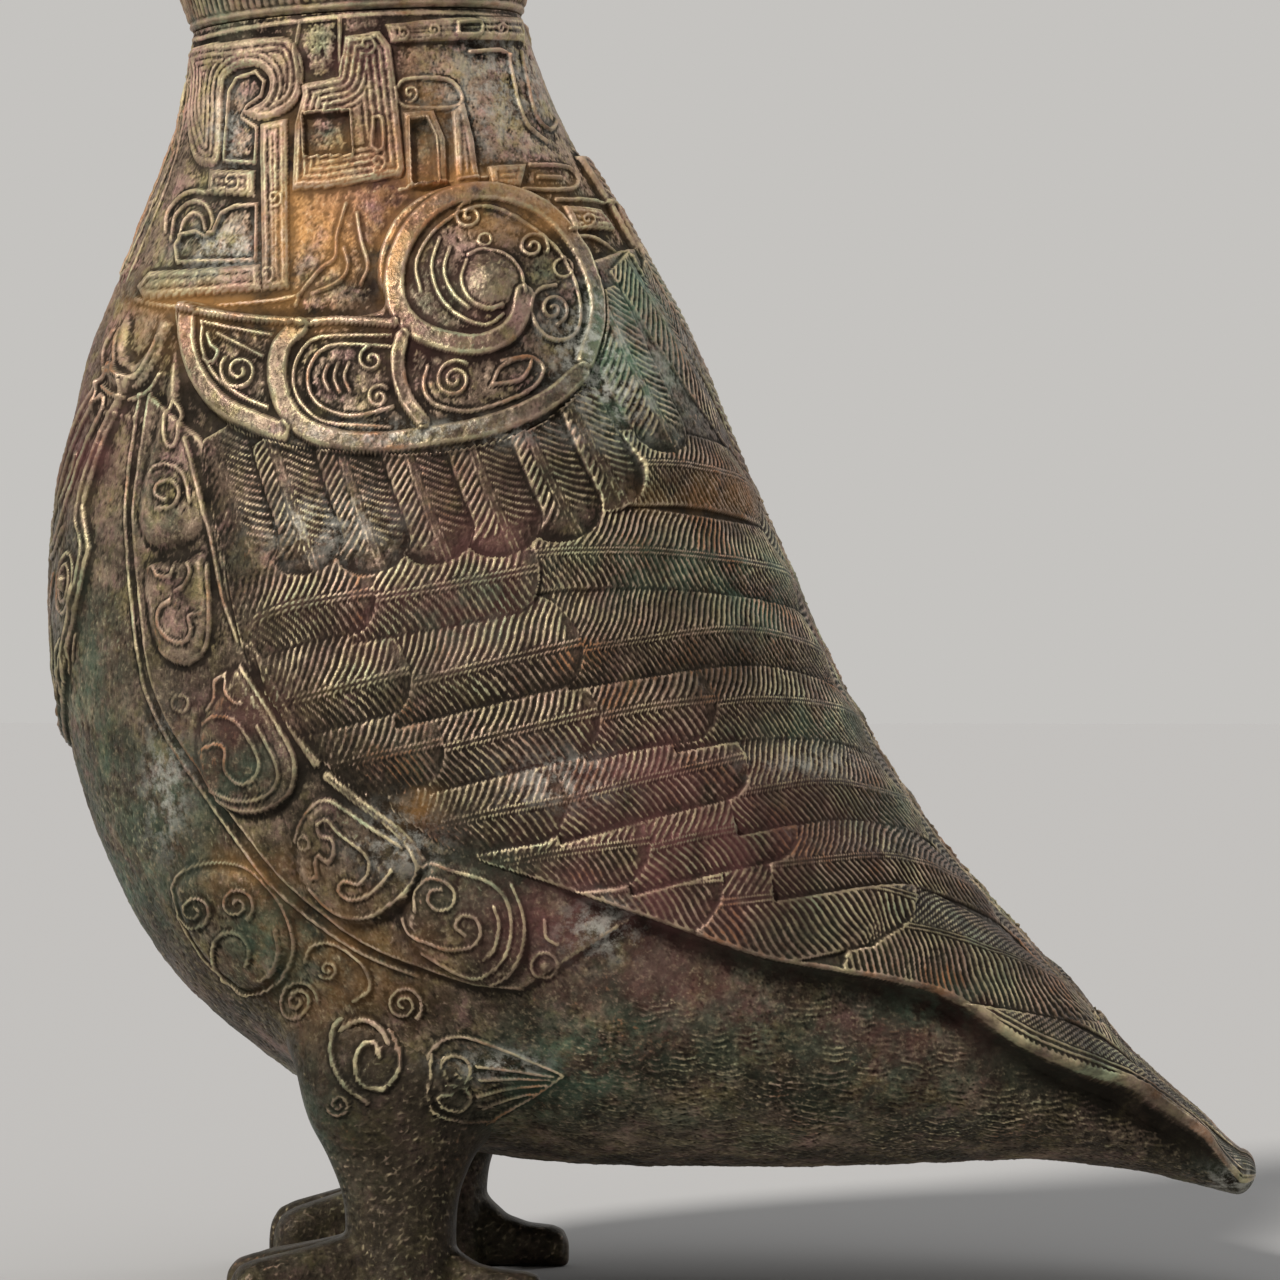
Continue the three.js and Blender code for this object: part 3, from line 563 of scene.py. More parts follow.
# Lines down the front of the neck: place of the first, and how much the next ones move there
FRONT_LINE = [(193, 52, 0.35), (186, 110, 0.45), (176, 158, 0.6), (160, 204, 0.75), (142, 246, 0.75),
              (128, 280, 0.6)]
FRONT_LINES, FRONT_PITCH, FRONT_STROKE = 5, 8.5, (4, 0.36)
for move in FRONT_PITCH * np.arange(FRONT_LINES):
    line = [(u - move * share, v) for u, v, share in FRONT_LINE]
    line[0] = (line[0][0], FRONT_LINE[0][1] + move)
    cast.ridge(line, *FRONT_STROKE)

# Breast side: scrolls, teardrop and the borders of the serpent band
SERPENT = [(152, 394), (142, 458), (136, 514), (140, 578), (148, 650), (157, 690), (180, 737), (212, 783),
           (244, 828), (280, 874), (321, 910), (366, 942), (421, 965), (475, 982), (522, 988)]
LOBES = [
    [(175, 352), (160, 420), (147, 475), (141, 518), (150, 545), (170, 553), (196, 546), (213, 524),
     (212, 496), (202, 460), (190, 415)],
    [(150, 562), (180, 559), (210, 554), (218, 600), (215, 645), (197, 669), (172, 666), (156, 642),
     (148, 602)],
    [(202, 722), (220, 692), (243, 662), (271, 700), (293, 735), (306, 765), (301, 791), (281, 813),
     (250, 819), (222, 807), (205, 782), (198, 750)],
    [(296, 846), (302, 818), (318, 797), (340, 793), (373, 813), (406, 834), (430, 860), (426, 887),
     (406, 907), (375, 924), (345, 922), (317, 902), (299, 876)],
    [(403, 916), (416, 880), (433, 856), (470, 860), (506, 878), (529, 914), (529, 951), (512, 979),
     (480, 988), (440, 970), (411, 942)],
    [(127, 312), (109, 357), (112, 384), (130, 397), (151, 384), (168, 346), (176, 322), (160, 317),
     (151, 340), (139, 357), (131, 350), (134, 328)],
]
LOBE_HEIGHT, LOBE_BEVEL = 1.3, 13
for lobe in LOBES:
    cast.plate(lobe, LOBE_HEIGHT, LOBE_BEVEL, rounded=True)
SIDE_LINES = [
    [(114, 330), (104, 352), (104, 380), (98, 410)],
    [(108, 388), (117, 396), (133, 399), (150, 390), (160, 374)],
    [(122, 330), (119, 355), (124, 375), (138, 378), (150, 362), (160, 338)],
    [(177, 402), (171, 424), (172, 444), (178, 450), (184, 442), (184, 414), (177, 402)],
    [(157, 478), (161, 470), (174, 467), (190, 477), (196, 503)],
    [(163, 511), (180, 508), (186, 494), (177, 483), (165, 487), (163, 497), (172, 502)],
    [(155, 571), (160, 567), (165, 577), (178, 577), (180, 564)],
    [(193, 564), (197, 574), (190, 588), (182, 592)],
    [(177, 602), (167, 610), (166, 627), (177, 640), (190, 643), (198, 633), (196, 617), (207, 615)],
    [(211, 566), (214, 620), (209, 650), (194, 663), (178, 660), (165, 650)],
    SERPENT,
    [(141, 394), (131, 458), (126, 514), (130, 578), (138, 652), (147, 694), (170, 742), (202, 790),
     (234, 836), (271, 884), (314, 921), (362, 953), (418, 976)],
    [(190, 440), (203, 490), (216, 550), (226, 600), (240, 640)],
    [(209, 748), (222, 743), (231, 748), (232, 770), (247, 783), (262, 774), (264, 758), (254, 737),
     (240, 720), (222, 716), (207, 723)],
    [(217, 789), (237, 798), (257, 799), (274, 792), (283, 779), (281, 762), (273, 745), (263, 726)],
    [(221, 798), (240, 808), (263, 809), (287, 798), (297, 782), (298, 760), (288, 737), (273, 712),
     (257, 687), (244, 667)],
    [(228, 674), (230, 690), (240, 702), (247, 703)], [(211, 710), (218, 697), (218, 682), (226, 676)],
    [(298, 840), (304, 820), (317, 803), (330, 799), (342, 804), (374, 826), (404, 845)],
    [(322, 822), (331, 818), (341, 830), (357, 842), (370, 853), (373, 867), (363, 881), (348, 878),
     (343, 887), (353, 896), (368, 894), (384, 882), (395, 868)],
    [(322, 823), (324, 833), (336, 838), (338, 851), (332, 860), (323, 853), (320, 862), (322, 873),
     (315, 876)],
    [(314, 886), (332, 906), (352, 914), (374, 913), (391, 903), (411, 887), (420, 868), (414, 850)],
    [(418, 908), (417, 890), (429, 877), (446, 879), (457, 890), (454, 904), (440, 907), (431, 898),
     (434, 888), (444, 887)],
    [(404, 917), (411, 931), (431, 939), (451, 946), (474, 943), (483, 930), (478, 916), (464, 913),
     (458, 923), (467, 931)],
    [(421, 872), (433, 862), (458, 870), (490, 880), (507, 897), (513, 923), (508, 950), (491, 969),
     (470, 973), (424, 951)],
    [(496, 905), (501, 923), (496, 946), (486, 956)],
    [(512, 884), (524, 913), (524, 944), (511, 971), (492, 983)],
    [(545, 919), (547, 936), (558, 943)],
]
SIDE_BARS = [[(253, 648), (275, 690), (298, 731), (318, 762)],
             [(330, 776), (366, 805), (403, 833), (425, 862)]]
SIDE_RINGS = [((184, 703), 8, 4.5, 0.5), ((308, 841), 6, 4, 0.5), ((545, 964), 13, 4.5, 0.6)]
SIDE_BOSSES = [((545, 964), 6, 0.6)] + [((112 + 8 * n, 414 + 1.5 * n), 4, 0.5) for n in range(5)]
SIDE_STROKE, BAR_STROKE, BAR_CREST = (5.2, 0.7), (12, 0.9), 0.4
for line in SIDE_LINES:
    cast.ridge(line, *SIDE_STROKE)
for line in SIDE_BARS:
    cast.ridge(line, *BAR_STROKE, crest=BAR_CREST)
for ring in SIDE_RINGS:
    cast.ring(*ring)
for boss in SIDE_BOSSES:
    cast.boss(*boss)

# Shoulder coil: thick smooth rims, thread lines and spirals, round a domed boss
COIL_DOMES = [((488, 288), 112, 1.8, 1.0), ((335, 388), 74, 0.9, 0.9), ((248, 370), 64, 0.6, 0.8),
              ((480, 398), 74, 0.7, 0.6)]
for dome in COIL_DOMES:
    cast.boss(*dome)
COIL_RIMS = [
    ([(195, 316), (195, 349), (208, 384), (230, 410), (259, 425), (286, 436)], 22),
    ([(303, 333), (288, 350), (283, 376), (289, 408), (308, 432), (344, 445), (379, 447), (413, 444),
      (448, 439), (492, 430), (540, 409), (575, 380)], 23),
    ([(580, 366), (590, 327), (585, 292), (566, 252), (535, 217), (496, 200), (461, 200), (432, 213),
      (408, 241), (396, 276), (398, 310), (414, 334), (442, 348), (474, 353), (500, 345), (514, 328),
      (519, 306)], 23),
    ([(188, 312), (240, 321), (296, 327)], 8), ([(303, 329), (344, 326), (396, 330)], 8),
    ([(403, 344), (399, 368), (406, 401), (424, 428)], 16),
]
COIL_RISE, COIL_CREST = 1.2, 0.62
for rim, width in COIL_RIMS:
    cast.ridge(rim, width, COIL_RISE, crest=COIL_CREST)
THREADS = [
    [(421, 300), (416, 272), (428, 244), (448, 225), (470, 215), (494, 217), (528, 239), (553, 264),
     (570, 298), (574, 328), (566, 344), (548, 347), (532, 335), (526, 316), (533, 300), (549, 295)],
    [(438, 246), (431, 275), (440, 306), (460, 326), (484, 334), (500, 324)],
    [(448, 256), (443, 280), (452, 303), (467, 317)],
    [(466, 264), (480, 259), (500, 266), (515, 284), (519, 304)],
    [(464, 270), (459, 290), (467, 309), (484, 319), (499, 316)],
    [(209, 326), (209, 352), (222, 380), (246, 400), (272, 412)], [(209, 326), (240, 333), (276, 340)],
    [(214, 338), (218, 350), (225, 356), (220, 367), (211, 364)], [(224, 338), (250, 352), (268, 362)],
    [(392, 341), (344, 342), (316, 346), (301, 368), (299, 392), (310, 414), (334, 428), (392, 432)],
    [(392, 352), (344, 351), (324, 358), (313, 378), (316, 402), (333, 416), (360, 421), (394, 412)],
    [(428, 372), (424, 392), (436, 410), (474, 416), (524, 398), (540, 376), (526, 364), (500, 368)],
    [(490, 392), (500, 373), (527, 366), (518, 386), (490, 392)],
    [(332, 372), (328, 384), (333, 397)], [(342, 370), (338, 384), (343, 398)],
    [(352, 371), (348, 384), (353, 397)],
]
COIL_BOSS = ((489, 290), 31, 2.4)
COIL_SPIRALS = [((466, 224), 14, 1.5, 90), ((526, 257), 15, 1.5, 200), ((547, 318), 15, 1.5, 250),
                ((454, 386), 19, 1.8, 20), ((374, 366), 13, 1.3, 150), ((381, 403), 12, 1.3, 200),
                ((246, 376), 19, 1.7, 330)]
COIL_RINGS = [((556, 277), 9), ((481, 249), 6)]
THREAD_STROKE, COIL_SPIRAL_STROKE, COIL_RING_STROKE = (5, 0.75), (4.8, 0.75), (4, 0.45)
for thread in THREADS:
    cast.ridge(thread, *THREAD_STROKE)
cast.boss(*COIL_BOSS)
for spiral in COIL_SPIRALS:
    cast.spiral(*spiral, *COIL_SPIRAL_STROKE)
for ring in COIL_RINGS:
    cast.ring(*ring, *COIL_RING_STROKE)

# Breast mask, drawn by distance from the breast's middle line and height in the photo
NOSE, NOSE_STROKE = [(0, 520), (0, 700)], (26, 1.6)
cast.ridge(breast_line(NOSE), *NOSE_STROKE, flat=True)
MASK_LINES = [
    [(0, 512), (46, 508), (88, 442), (142, 398), (178, 418), (160, 464), (142, 528), (164, 578), (140, 632),
     (88, 694), (46, 730), (0, 736)],
    [(20, 528), (60, 522), (100, 462), (138, 420), (154, 432), (134, 470), (108, 520), (78, 545), (30, 548)],
    [(24, 690), (30, 640), (60, 630), (72, 656), (56, 676), (44, 664)],
    [(84, 690), (96, 660), (118, 650)], [(120, 470), (108, 496), (84, 512)],
    [(30, 560), (80, 556), (110, 540)], [(20, 610), (60, 600), (84, 580)],
]
MASK_STROKE, MASK_EYE, MASK_EYE_TALL = (7, 0.65), (128, 598), 1.2
MASK_EYE_RINGS, MASK_EYE_WIDTH = ((24, 0.7), (15, 0.8)), 6
PUPIL, PUPIL_STROKE = [(128, 594), (128, 602)], (14, 1.8)
TEETH, TOOTH, TOOTH_STEP, TOOTH_STROKE = 7, [(146, 652), (137, 676)], (-14, 8), (4, 0.5)
for line in MASK_LINES:
    cast.ridge(breast_line(line), *MASK_STROKE, flat=True)
for radius, height in MASK_EYE_RINGS:
    ring = oval(MASK_EYE, radius, np.linspace(0, 2 * math.pi, BOSS_POINTS), MASK_EYE_TALL)
    cast.ridge(breast_line(ring), MASK_EYE_WIDTH, height, flat=True)
cast.ridge(breast_line(PUPIL), *PUPIL_STROKE, flat=True)
for n in range(TEETH):
    tooth = [(keel + n * TOOTH_STEP[0], v + n * TOOTH_STEP[1]) for keel, v in TOOTH]
    cast.ridge(breast_line(tooth), *TOOTH_STROKE, flat=True)

# Thigh ornament, which runs from the vessel on to the legs
THIGH_LINES = [
    [(173, 887), (182, 872), (207, 863), (240, 865), (264, 882), (284, 910), (294, 943), (287, 970),
     (270, 988), (250, 993), (230, 981), (208, 962), (184, 926), (173, 887)],
    [(249, 963), (253, 949), (245, 933), (228, 930), (217, 943), (218, 963), (230, 983), (250, 993)],
    [(278, 928), (281, 950), (274, 970), (262, 978)],
    [(305, 962), (312, 946), (335, 944), (362, 964), (370, 987), (354, 1001)],
    [(430, 1066), (434, 1046), (456, 1036), (490, 1044), (562, 1074)],
    [(446, 1078), (440, 1064), (450, 1053), (466, 1056), (472, 1068), (462, 1079), (452, 1072)],
    [(446, 1085), (462, 1086), (468, 1098), (458, 1110), (442, 1106), (438, 1096), (450, 1094)],
    [(430, 1070), (428, 1090), (434, 1112), (470, 1120), (522, 1102), (562, 1076)],
    [(478, 1064), (552, 1076)], [(482, 1076), (550, 1079)], [(480, 1089), (546, 1084)],
    [(476, 1102), (536, 1092)],
]
THIGH_SPIRALS = [((198, 908), 19, 1.6, 300), ((240, 902), 18, 1.6, 200), ((298, 1000), 20, 2.0, 0),
                 ((328, 969), 10, 1.3, 30), ((404, 1004), 19, 1.8, 120), ((339, 1104), 12, 1.4, 10)]
THIGH_HOOK = [[(368, 1102), (348, 1088), (336, 1070), (332, 1052), (339, 1029), (364, 1017), (387, 1029),
               (399, 1052), (398, 1072), (386, 1088)],
              [(380, 1057), (377, 1046), (366, 1045), (357, 1057), (357, 1075), (366, 1086), (384, 1089)]]
THIGH_STROKE, THIGH_SPIRAL_STROKE, HOOK_STROKE, HOOK_CREST = (5.4, 0.75), (5.2, 0.7), (7, 0.9), 0.2
THIGH_HEIGHT, THIGH_BEVEL = 1.2, 16


def thigh(canvas):
    """Lines, spirals and hook of the thigh."""
    for line in THIGH_LINES:
        canvas.ridge(line, *THIGH_STROKE)
    for spiral in THIGH_SPIRALS:
        canvas.spiral(*spiral, *THIGH_SPIRAL_STROKE)
    for line in THIGH_HOOK:
        canvas.ridge(line, *HOOK_STROKE, crest=HOOK_CREST)


cast.plate(THIGH_LINES[0][:-1], THIGH_HEIGHT, THIGH_BEVEL, rounded=True)
thigh(cast)
# Short marks in threes on the belly, below a line that falls towards the tail
BELLY_MARKS, BELLY_U, BELLY_V = 200, (560, 1150), (985, 1150)
MARK_TOP, MARK_FALL, MARK_FALL_FROM = 1000, 0.3, 840
MARK_LENGTHS, MARK_PITCH, MARK_STROKE = (14, 34), 6, (3.4, 0.11)
MARK_SAG, MARK_LIFT = 2, 1  # fall at a mark's middle and rise at its end
for _ in range(BELLY_MARKS):
    u, v = rng.uniform(*BELLY_U), rng.uniform(*BELLY_V)
    if v > MARK_TOP + MARK_FALL * max(u - MARK_FALL_FROM, 0):
        length = rng.uniform(*MARK_LENGTHS)
        for down in v + MARK_PITCH * np.arange(3):
            mark_line = [(u, down), (u + length / 2, down + MARK_SAG), (u + length, down - MARK_LIFT)]
            cast.ridge(mark_line, *MARK_STROKE)

# Levels of the castings above the vessel wall; the wing's lower rear edge stands out over the belly
COIL_LEVEL, MASK_LEVEL, SERPENT_LEVEL, SPINE_LEVEL = 2.6, 1.3, 1.1, 1.7
WING_LEVEL, WING_STAND_OFF, STAND_OFF_FALL, EDGE_REACH = 0.5, 4.2, 0.7, 150
BACK_SHARE, BACK_FADE = 0.2, (30, 150)
REAR_START, REAR_FULL, TUCK, TUCK_REACH = 500, 720, 0.75, 60
SPINE_RELIEF, RELIEF_FADE = 0.5, (20, 120)  # feathers get flatter towards the spine
LEVEL_BLUR = 2
CAST_GRAIN = [(1, 0.035), (4, 0.05), (14, 0.07)]
CAST_EDGES, CAST_HOLLOWS = [(2, 1.7), (4, 1.4)], [(10, 0.8), (30, 0.25)]
window, dist, _, _ = cast.near(cast.line(WING_EDGE + TAIL_EDGE[1:]), EDGE_REACH)
edge_dist = np.full(region.shape, EDGE_REACH, np.float32)
edge_dist[window] = np.minimum(dist, EDGE_REACH)
wing_front = cast.line(WING_EDGE[:12])[::-1]
serpent_line = np.concatenate([cast.line(SERPENT), wing_front, cast.line(SERPENT[:1], rounded=False)])
serpent = cast.inside(serpent_line, (slice(0, cast.rows), slice(0, cast.cols))) & (region == BODY)
back_fade = BACK_SHARE + (1 - BACK_SHARE) * ease(from_back, *BACK_FADE)
rear = ease(cell_u, REAR_START, REAR_FULL)
tucked = 1 - TUCK * (1 - rear) * (1 - ease(edge_dist, 0, TUCK_REACH))
stand_off = WING_STAND_OFF * rear * (1 - STAND_OFF_FALL * ease(edge_dist, 0, EDGE_REACH))
plumage = (WING_LEVEL + stand_off) * back_fade
spine = (from_back < SPINE) & (region == BODY) & (cell_phi > SPINE_FIRST)
level = np.select([feathered, region == COIL, region == MASK, serpent, spine],
                  [plumage, COIL_LEVEL, MASK_LEVEL, SERPENT_LEVEL, SPINE_LEVEL], 0.0)
spine_fade = SPINE_RELIEF + (1 - SPINE_RELIEF) * ease(from_back, *RELIEF_FADE)
cast.fine *= np.where(feathered, tucked * spine_fade, 1)
cast.fine += blur(level.astype(np.float32), LEVEL_BLUR)
cast.roughen(CAST_GRAIN)
# Bare edges with painted highlight, and hollows with painted shade
cast_wear_and_shade = wear_and_shade(cast.fine, CAST_EDGES, CAST_HOLLOWS)

# Legs: thigh ornament and rows of short scale marks down the shin
SHIN_LOW, SHIN_HIGH, SHIN_CELLS = (190, 930), (640, 1300), 3.0
SCALE_ROWS, SCALES, SCALE_STEP_U, SCALE_STEP_V = 17, 34, 12, 9
SCALE_U, SCALE_V, SCALE_STRAY, SCALE_STROKE = 225, 1122, 4, (5, 0.1)
SCALE_RUN, SCALE_TILT = (4, 9), (-2, 2)
SHIN_GRAIN = [(1, 0.03), (3, 0.05), (9, 0.07)]
SHIN_EDGES, SHIN_HOLLOWS = [(3, 1.2), (6, 1.0)], [(14, 0.8)]
shin = Canvas(SHIN_LOW, SHIN_HIGH, SHIN_CELLS)
thigh(shin)
for row in range(SCALE_ROWS):
    for n in range(SCALES):
        u = SCALE_U + SCALE_STEP_U * n + rng.uniform(-SCALE_STRAY, SCALE_STRAY)
        v = SCALE_V + SCALE_STEP_V * row + rng.uniform(-SCALE_STRAY, SCALE_STRAY)
        end = (u + rng.uniform(*SCALE_RUN), v + rng.uniform(*SCALE_TILT))
        shin.ridge([(u, v), end], *SCALE_STROKE)
shin.roughen(SHIN_GRAIN)
# Bare edges with painted highlight, and hollows with painted shade, on the legs
shin_wear_and_shade = wear_and_shade(shin.fine, SHIN_EDGES, SHIN_HOLLOWS)

# Head: feather scales, brows and eye discs, drawn on its unrolled half and mirrored
RIM_BACK, RIM_FRONT = smooth(*BACK_POLAR, FIRST), smooth(*FRONT_POLAR, FIRST)
RIM_LONG, RIM_BROAD = (RIM_FRONT - RIM_BACK) / 2, smooth(*BREADTH_KNOTS, FIRST)
RIM_REACH = (RIM_FRONT + RIM_BACK) / 2
RIM_MIDDLE = PIVOT[0] - RIM_REACH * math.cos(FIRST), PIVOT[1] - RIM_REACH * math.sin(FIRST)
# Share of the head's height, half length and half breadth against the rim, shift
HEAD_ROWS = np.array([(0, 1, 1, 0), (0.1, 1.05, 1.1, 0), (0.22, 1.1, 1.24, -1), (0.4, 1.13, 1.34, -2),
                      (0.58, 1.11, 1.34, -2), (0.74, 1, 1.22, -1), (0.87, 0.78, 0.97, 0),
                      (0.96, 0.46, 0.58, 1), (1, 0.14, 0.18, 1)])
FACE_LONG, FACE_BROAD = 1.12, 1.34
FACE = -FACE_LONG * RIM_LONG
EYE_TURN, EYE_UP, EYE_RADIUS, BEAK_REACH, TUFT_RISE = 46, 0.55, 12, 16, 20
DEGREE = 0.66  # millimetres of the unrolled head per degree of turn


def head_place(points):
    """From the head's own frame, at the middle of the neck rim, to the vessel's."""
    x, y, z = np.moveaxis(points, -1, 0)
    c, s = math.cos(FIRST), math.sin(FIRST)
    return np.stack([RIM_MIDDLE[0] + x * c - z * s, y, RIM_MIDDLE[1] + x * s + z * c], -1)


def head_rings(rows, cols):
    """Rings of the bare head, their turns, and the run and height of each row."""
    at = np.linspace(0, len(HEAD_ROWS) - 1, rows)
    up, long, broad, shift = (smooth(np.arange(len(HEAD_ROWS)), HEAD_ROWS[:, k], at) for k in range(4))
    turn = np.linspace(-math.pi, math.pi, cols, endpoint=False)
    points = np.stack([shift[:, None] - long[:, None] * RIM_LONG * np.cos(turn),
                       broad[:, None] * RIM_BROAD * fuller(np.sin(turn)),
                       np.maximum(up * HEAD_HEIGHT, SEAM)[:, None] + 0 * turn], -1)
    run = np.concatenate([[0], np.cumsum(np.hypot(np.diff(long * RIM_LONG), np.diff(up * HEAD_HEIGHT)))])
    return points, np.degrees(turn), run, up * HEAD_HEIGHT


_, _, head_run, head_up = head_rings(200, 8)
EYE_PLACE = np.array([EYE_TURN * DEGREE, np.interp(EYE_UP * HEAD_HEIGHT, head_up, head_run)])
HEAD_SPAN, HEAD_CELLS, HEAD_MARGIN = 190 * DEGREE, 6.0, 2
PAST_MIDDLE = -3  # lines that meet their mirror image start beyond the middle
CAP_DOWN, CAP_FADE = 12, (-3, 1)
crest = head_run[-1]
cap = crest - CAP_DOWN
crown = Canvas((-HEAD_SPAN, -HEAD_MARGIN), (HEAD_SPAN, crest + HEAD_MARGIN), HEAD_CELLS)
SCALE_FIRST, SCALE_UP, SCALE_TURN, SCALE_LONG, SCALE_HALF = 24, 7.5, 9.6, 15, 5.5
SCALE_COLUMNS, SCALE_MIDDLE, SCALE_PAST = range(-1, 14), 7, 6
SCALE_FORM = {"pitch": 2.0, "slant": 0.7, "peak": 1.2, "root": 0.2, "barb": 0.22, "shaft": 0.1}
EYE_DISC, BEAK_TURN, BEAK_UP = 20, 22, 50  # no scales on the eye disc and round the beak
DISC_HEIGHT, DISC_BEVEL = 0.4, 1.5
for row, up in enumerate(np.arange(SCALE_FIRST, cap + SCALE_PAST, SCALE_UP)):
    for n in SCALE_COLUMNS:
        turn = (n + 0.5 * (row % 2)) * SCALE_TURN
        from_eye = math.hypot(turn - EYE_PLACE[0], up - SCALE_MIDDLE - EYE_PLACE[1])
        if from_eye > EYE_DISC and not (turn < BEAK_TURN and up < BEAK_UP):
            axis = [(turn, up), (turn, up - SCALE_LONG)]
            crown.feather(axis, SCALE_HALF, SCALE_HALF, **SCALE_FORM)
disc_turns = np.linspace(0, 2 * math.pi, RING_POINTS, endpoint=False)
crown.plate(oval(EYE_PLACE, EYE_DISC, disc_turns), DISC_HEIGHT, DISC_BEVEL)
EYE_RINGS, EYE_RING_WIDTH = ((13.5, 0.7), (19, 0.9)), 1.8
EYE_RAYS, RAY_FROM, RAY_TO, RAY_STROKE = 40, 14.5, 18, (1.2, 0.45)
for radius, height in EYE_RINGS:
    crown.ring(EYE_PLACE, radius, EYE_RING_WIDTH, height)
for turn in 2 * math.pi * np.arange(EYE_RAYS) / EYE_RAYS:
    crown.ridge(oval(EYE_PLACE, np.array([RAY_FROM, RAY_TO]), turn), *RAY_STROKE)
BROWS = [([(5, 34), (12, 48), (26, 56), (44, 58), (56, 66)], 5, 1.6), ([(6, 40), (14, 52), (28, 60)], 2, 0.5)]
CHEEK_SPIRALS = [((58, 24), 6, 1.7, 0, 1.4, 0.6), ((14, 14), 4.5, 1.5, 180, 1.3, 0.5)]
COLLAR_RINGS = [(9.6, 1.6, 0.6), (1.4, 1.8, 0.4)]
COLLAR_BARS, BAR_STEP, COLLAR_BAR, COLLAR_BAR_STROKE = 64, 1.95, ((0.6, 3), (0.9, 8.2)), (1.1, 0.4)
for brow in BROWS:
    crown.ridge(*brow)
for spiral in CHEEK_SPIRALS:
    crown.spiral(*spiral)
for up, width, height in COLLAR_RINGS:
    crown.ridge([(PAST_MIDDLE, up), (HEAD_SPAN, up)], width, height)
for n in range(COLLAR_BARS):
    crown.ridge([(BAR_STEP * n + turn, up) for turn, up in COLLAR_BAR], *COLLAR_BAR_STROKE)
cell_run = (np.arange(crown.rows) / crown.scale + crown.low[1])[:, None]
crown.fine *= 1 - ease(cell_run - cap, *CAP_FADE)
CAP_STROKE, HEAD_GRAIN = (2.4, 0.7), [(2, 0.04), (8, 0.05)]
HEAD_EDGES, HEAD_HOLLOWS = [(4, 1.0), (8, 0.8)], [(20, 0.6)]
crown.ridge([(PAST_MIDDLE, cap), (HEAD_SPAN, cap)], *CAP_STROKE)
crown.mirror()
crown.roughen(HEAD_GRAIN)
# Bare edges with painted highlight, and hollows with painted shade, on the head
crown_wear_and_shade = wear_and_shade(crown.fine, HEAD_EDGES, HEAD_HOLLOWS)

# Patina patches seen in the photo, the whitish ones partly painted sheen and highlights: place, half sizes,
# strength
GREEN = [(622, 390, 40, 60, 0.7), (600, 330, 25, 50, 0.5), (270, 940, 40, 60, 0.7), (560, 1075, 70, 40, 0.9),
         (700, 1010, 160, 70, 0.5), (930, 1010, 50, 20, 0.9), (700, 575, 160, 30, 0.5),
         (470, 620, 60, 30, 0.6), (740, 625, 30, 25, 0.7), (810, 720, 40, 30, 0.5), (900, 820, 60, 30, 0.4),
         (170, 800, 60, 80, 0.5), (330, 130, 20, 20, 0.6), (780, 740, 60, 20, 0.4), (120, 900, 60, 60, 0.7),
         (250, 770, 30, 30, 0.5), (480, 880, 60, 40, 0.4), (900, 1080, 120, 50, 0.5),
         (1230, 1170, 50, 30, 0.3), (300, 1130, 40, 60, 0.4), (640, 300, 30, 40, 0.5),
         (430, 150, 24, 40, 0.5), (90, 700, 30, 120, 0.5)]
RED = [(690, 850, 130, 70, 0.9), (560, 920, 110, 50, 0.7), (430, 620, 120, 50, 0.4), (380, 180, 70, 60, 0.6),
       (640, 760, 100, 40, 0.6), (480, 540, 60, 60, 0.5), (90, 440, 30, 60, 0.7), (680, 990, 90, 40, 0.6),
       (240, 720, 50, 40, 0.5), (900, 1040, 90, 40, 0.5), (350, 60, 60, 40, 0.5), (440, 330, 60, 60, 0.4)]
RUST = [(335, 235, 52, 46, 1.0), (330, 150, 40, 40, 0.5), (420, 160, 40, 50, 0.6), (420, 805, 22, 16, 0.9),
        (250, 870, 60, 26, 0.6), (500, 180, 70, 16, 0.6), (350, 960, 80, 60, 0.5), (520, 230, 40, 26, 0.5),
        (180, 320, 60, 40, 0.4), (470, 220, 40, 20, 0.5), (700, 500, 70, 20, 0.4), (300, 330, 60, 14, 0.5),
        (292, 230, 12, 80, 0.8), (388, 250, 14, 60, 0.8), (230, 302, 90, 10, 0.8), (460, 184, 80, 12, 0.8),
        (425, 100, 24, 60, 0.4), (570, 225, 50, 20, 0.5)]
# Whitish crust, and painted sheen and highlights on rims and smooth fields of the neck and coil
PALE_AND_SHEEN = [(600, 930, 36, 26, 0.9), (560, 780, 50, 26, 0.6), (400, 840, 40, 30, 0.6), (590, 360, 24, 60, 0.8),
        (620, 400, 26, 40, 0.7), (500, 90, 60, 60, 0.6), (225, 250, 40, 26, 0.6), (500, 1062, 46, 12, 0.9),
        (165, 790, 22, 60, 0.7), (330, 530, 60, 30, 0.4), (1230, 1182, 30, 14, 0.8), (690, 330, 60, 60, 0.4),
        (560, 345, 30, 40, 0.4), (230, 130, 20, 40, 0.5), (800, 770, 60, 14, 0.5), (440, 438, 120, 12, 0.5)]
STAINS_AND_SHEEN = (GREEN, RED, PALE_AND_SHEEN, RUST)
# The third of these is whitish crust with painted sheen
PLAIN_PAINT = (0.25, 0.15, 0.05, 0.1)  # the same stains where the photo shows nothing
MM = 0.001


def patches(px, blobs):
    """Strength of one kind of stain at photo pixels; the whitish kind also holds painted sheen."""
    total = np.zeros(px.shape[:-1], np.float32)
    for u, v, ru, rv, strength in blobs:
        total += strength * np.exp(-((px[..., 0] - u) / ru) ** 2 - ((px[..., 1] - v) / rv) ** 2)
    return np.clip(total, 0, 1)


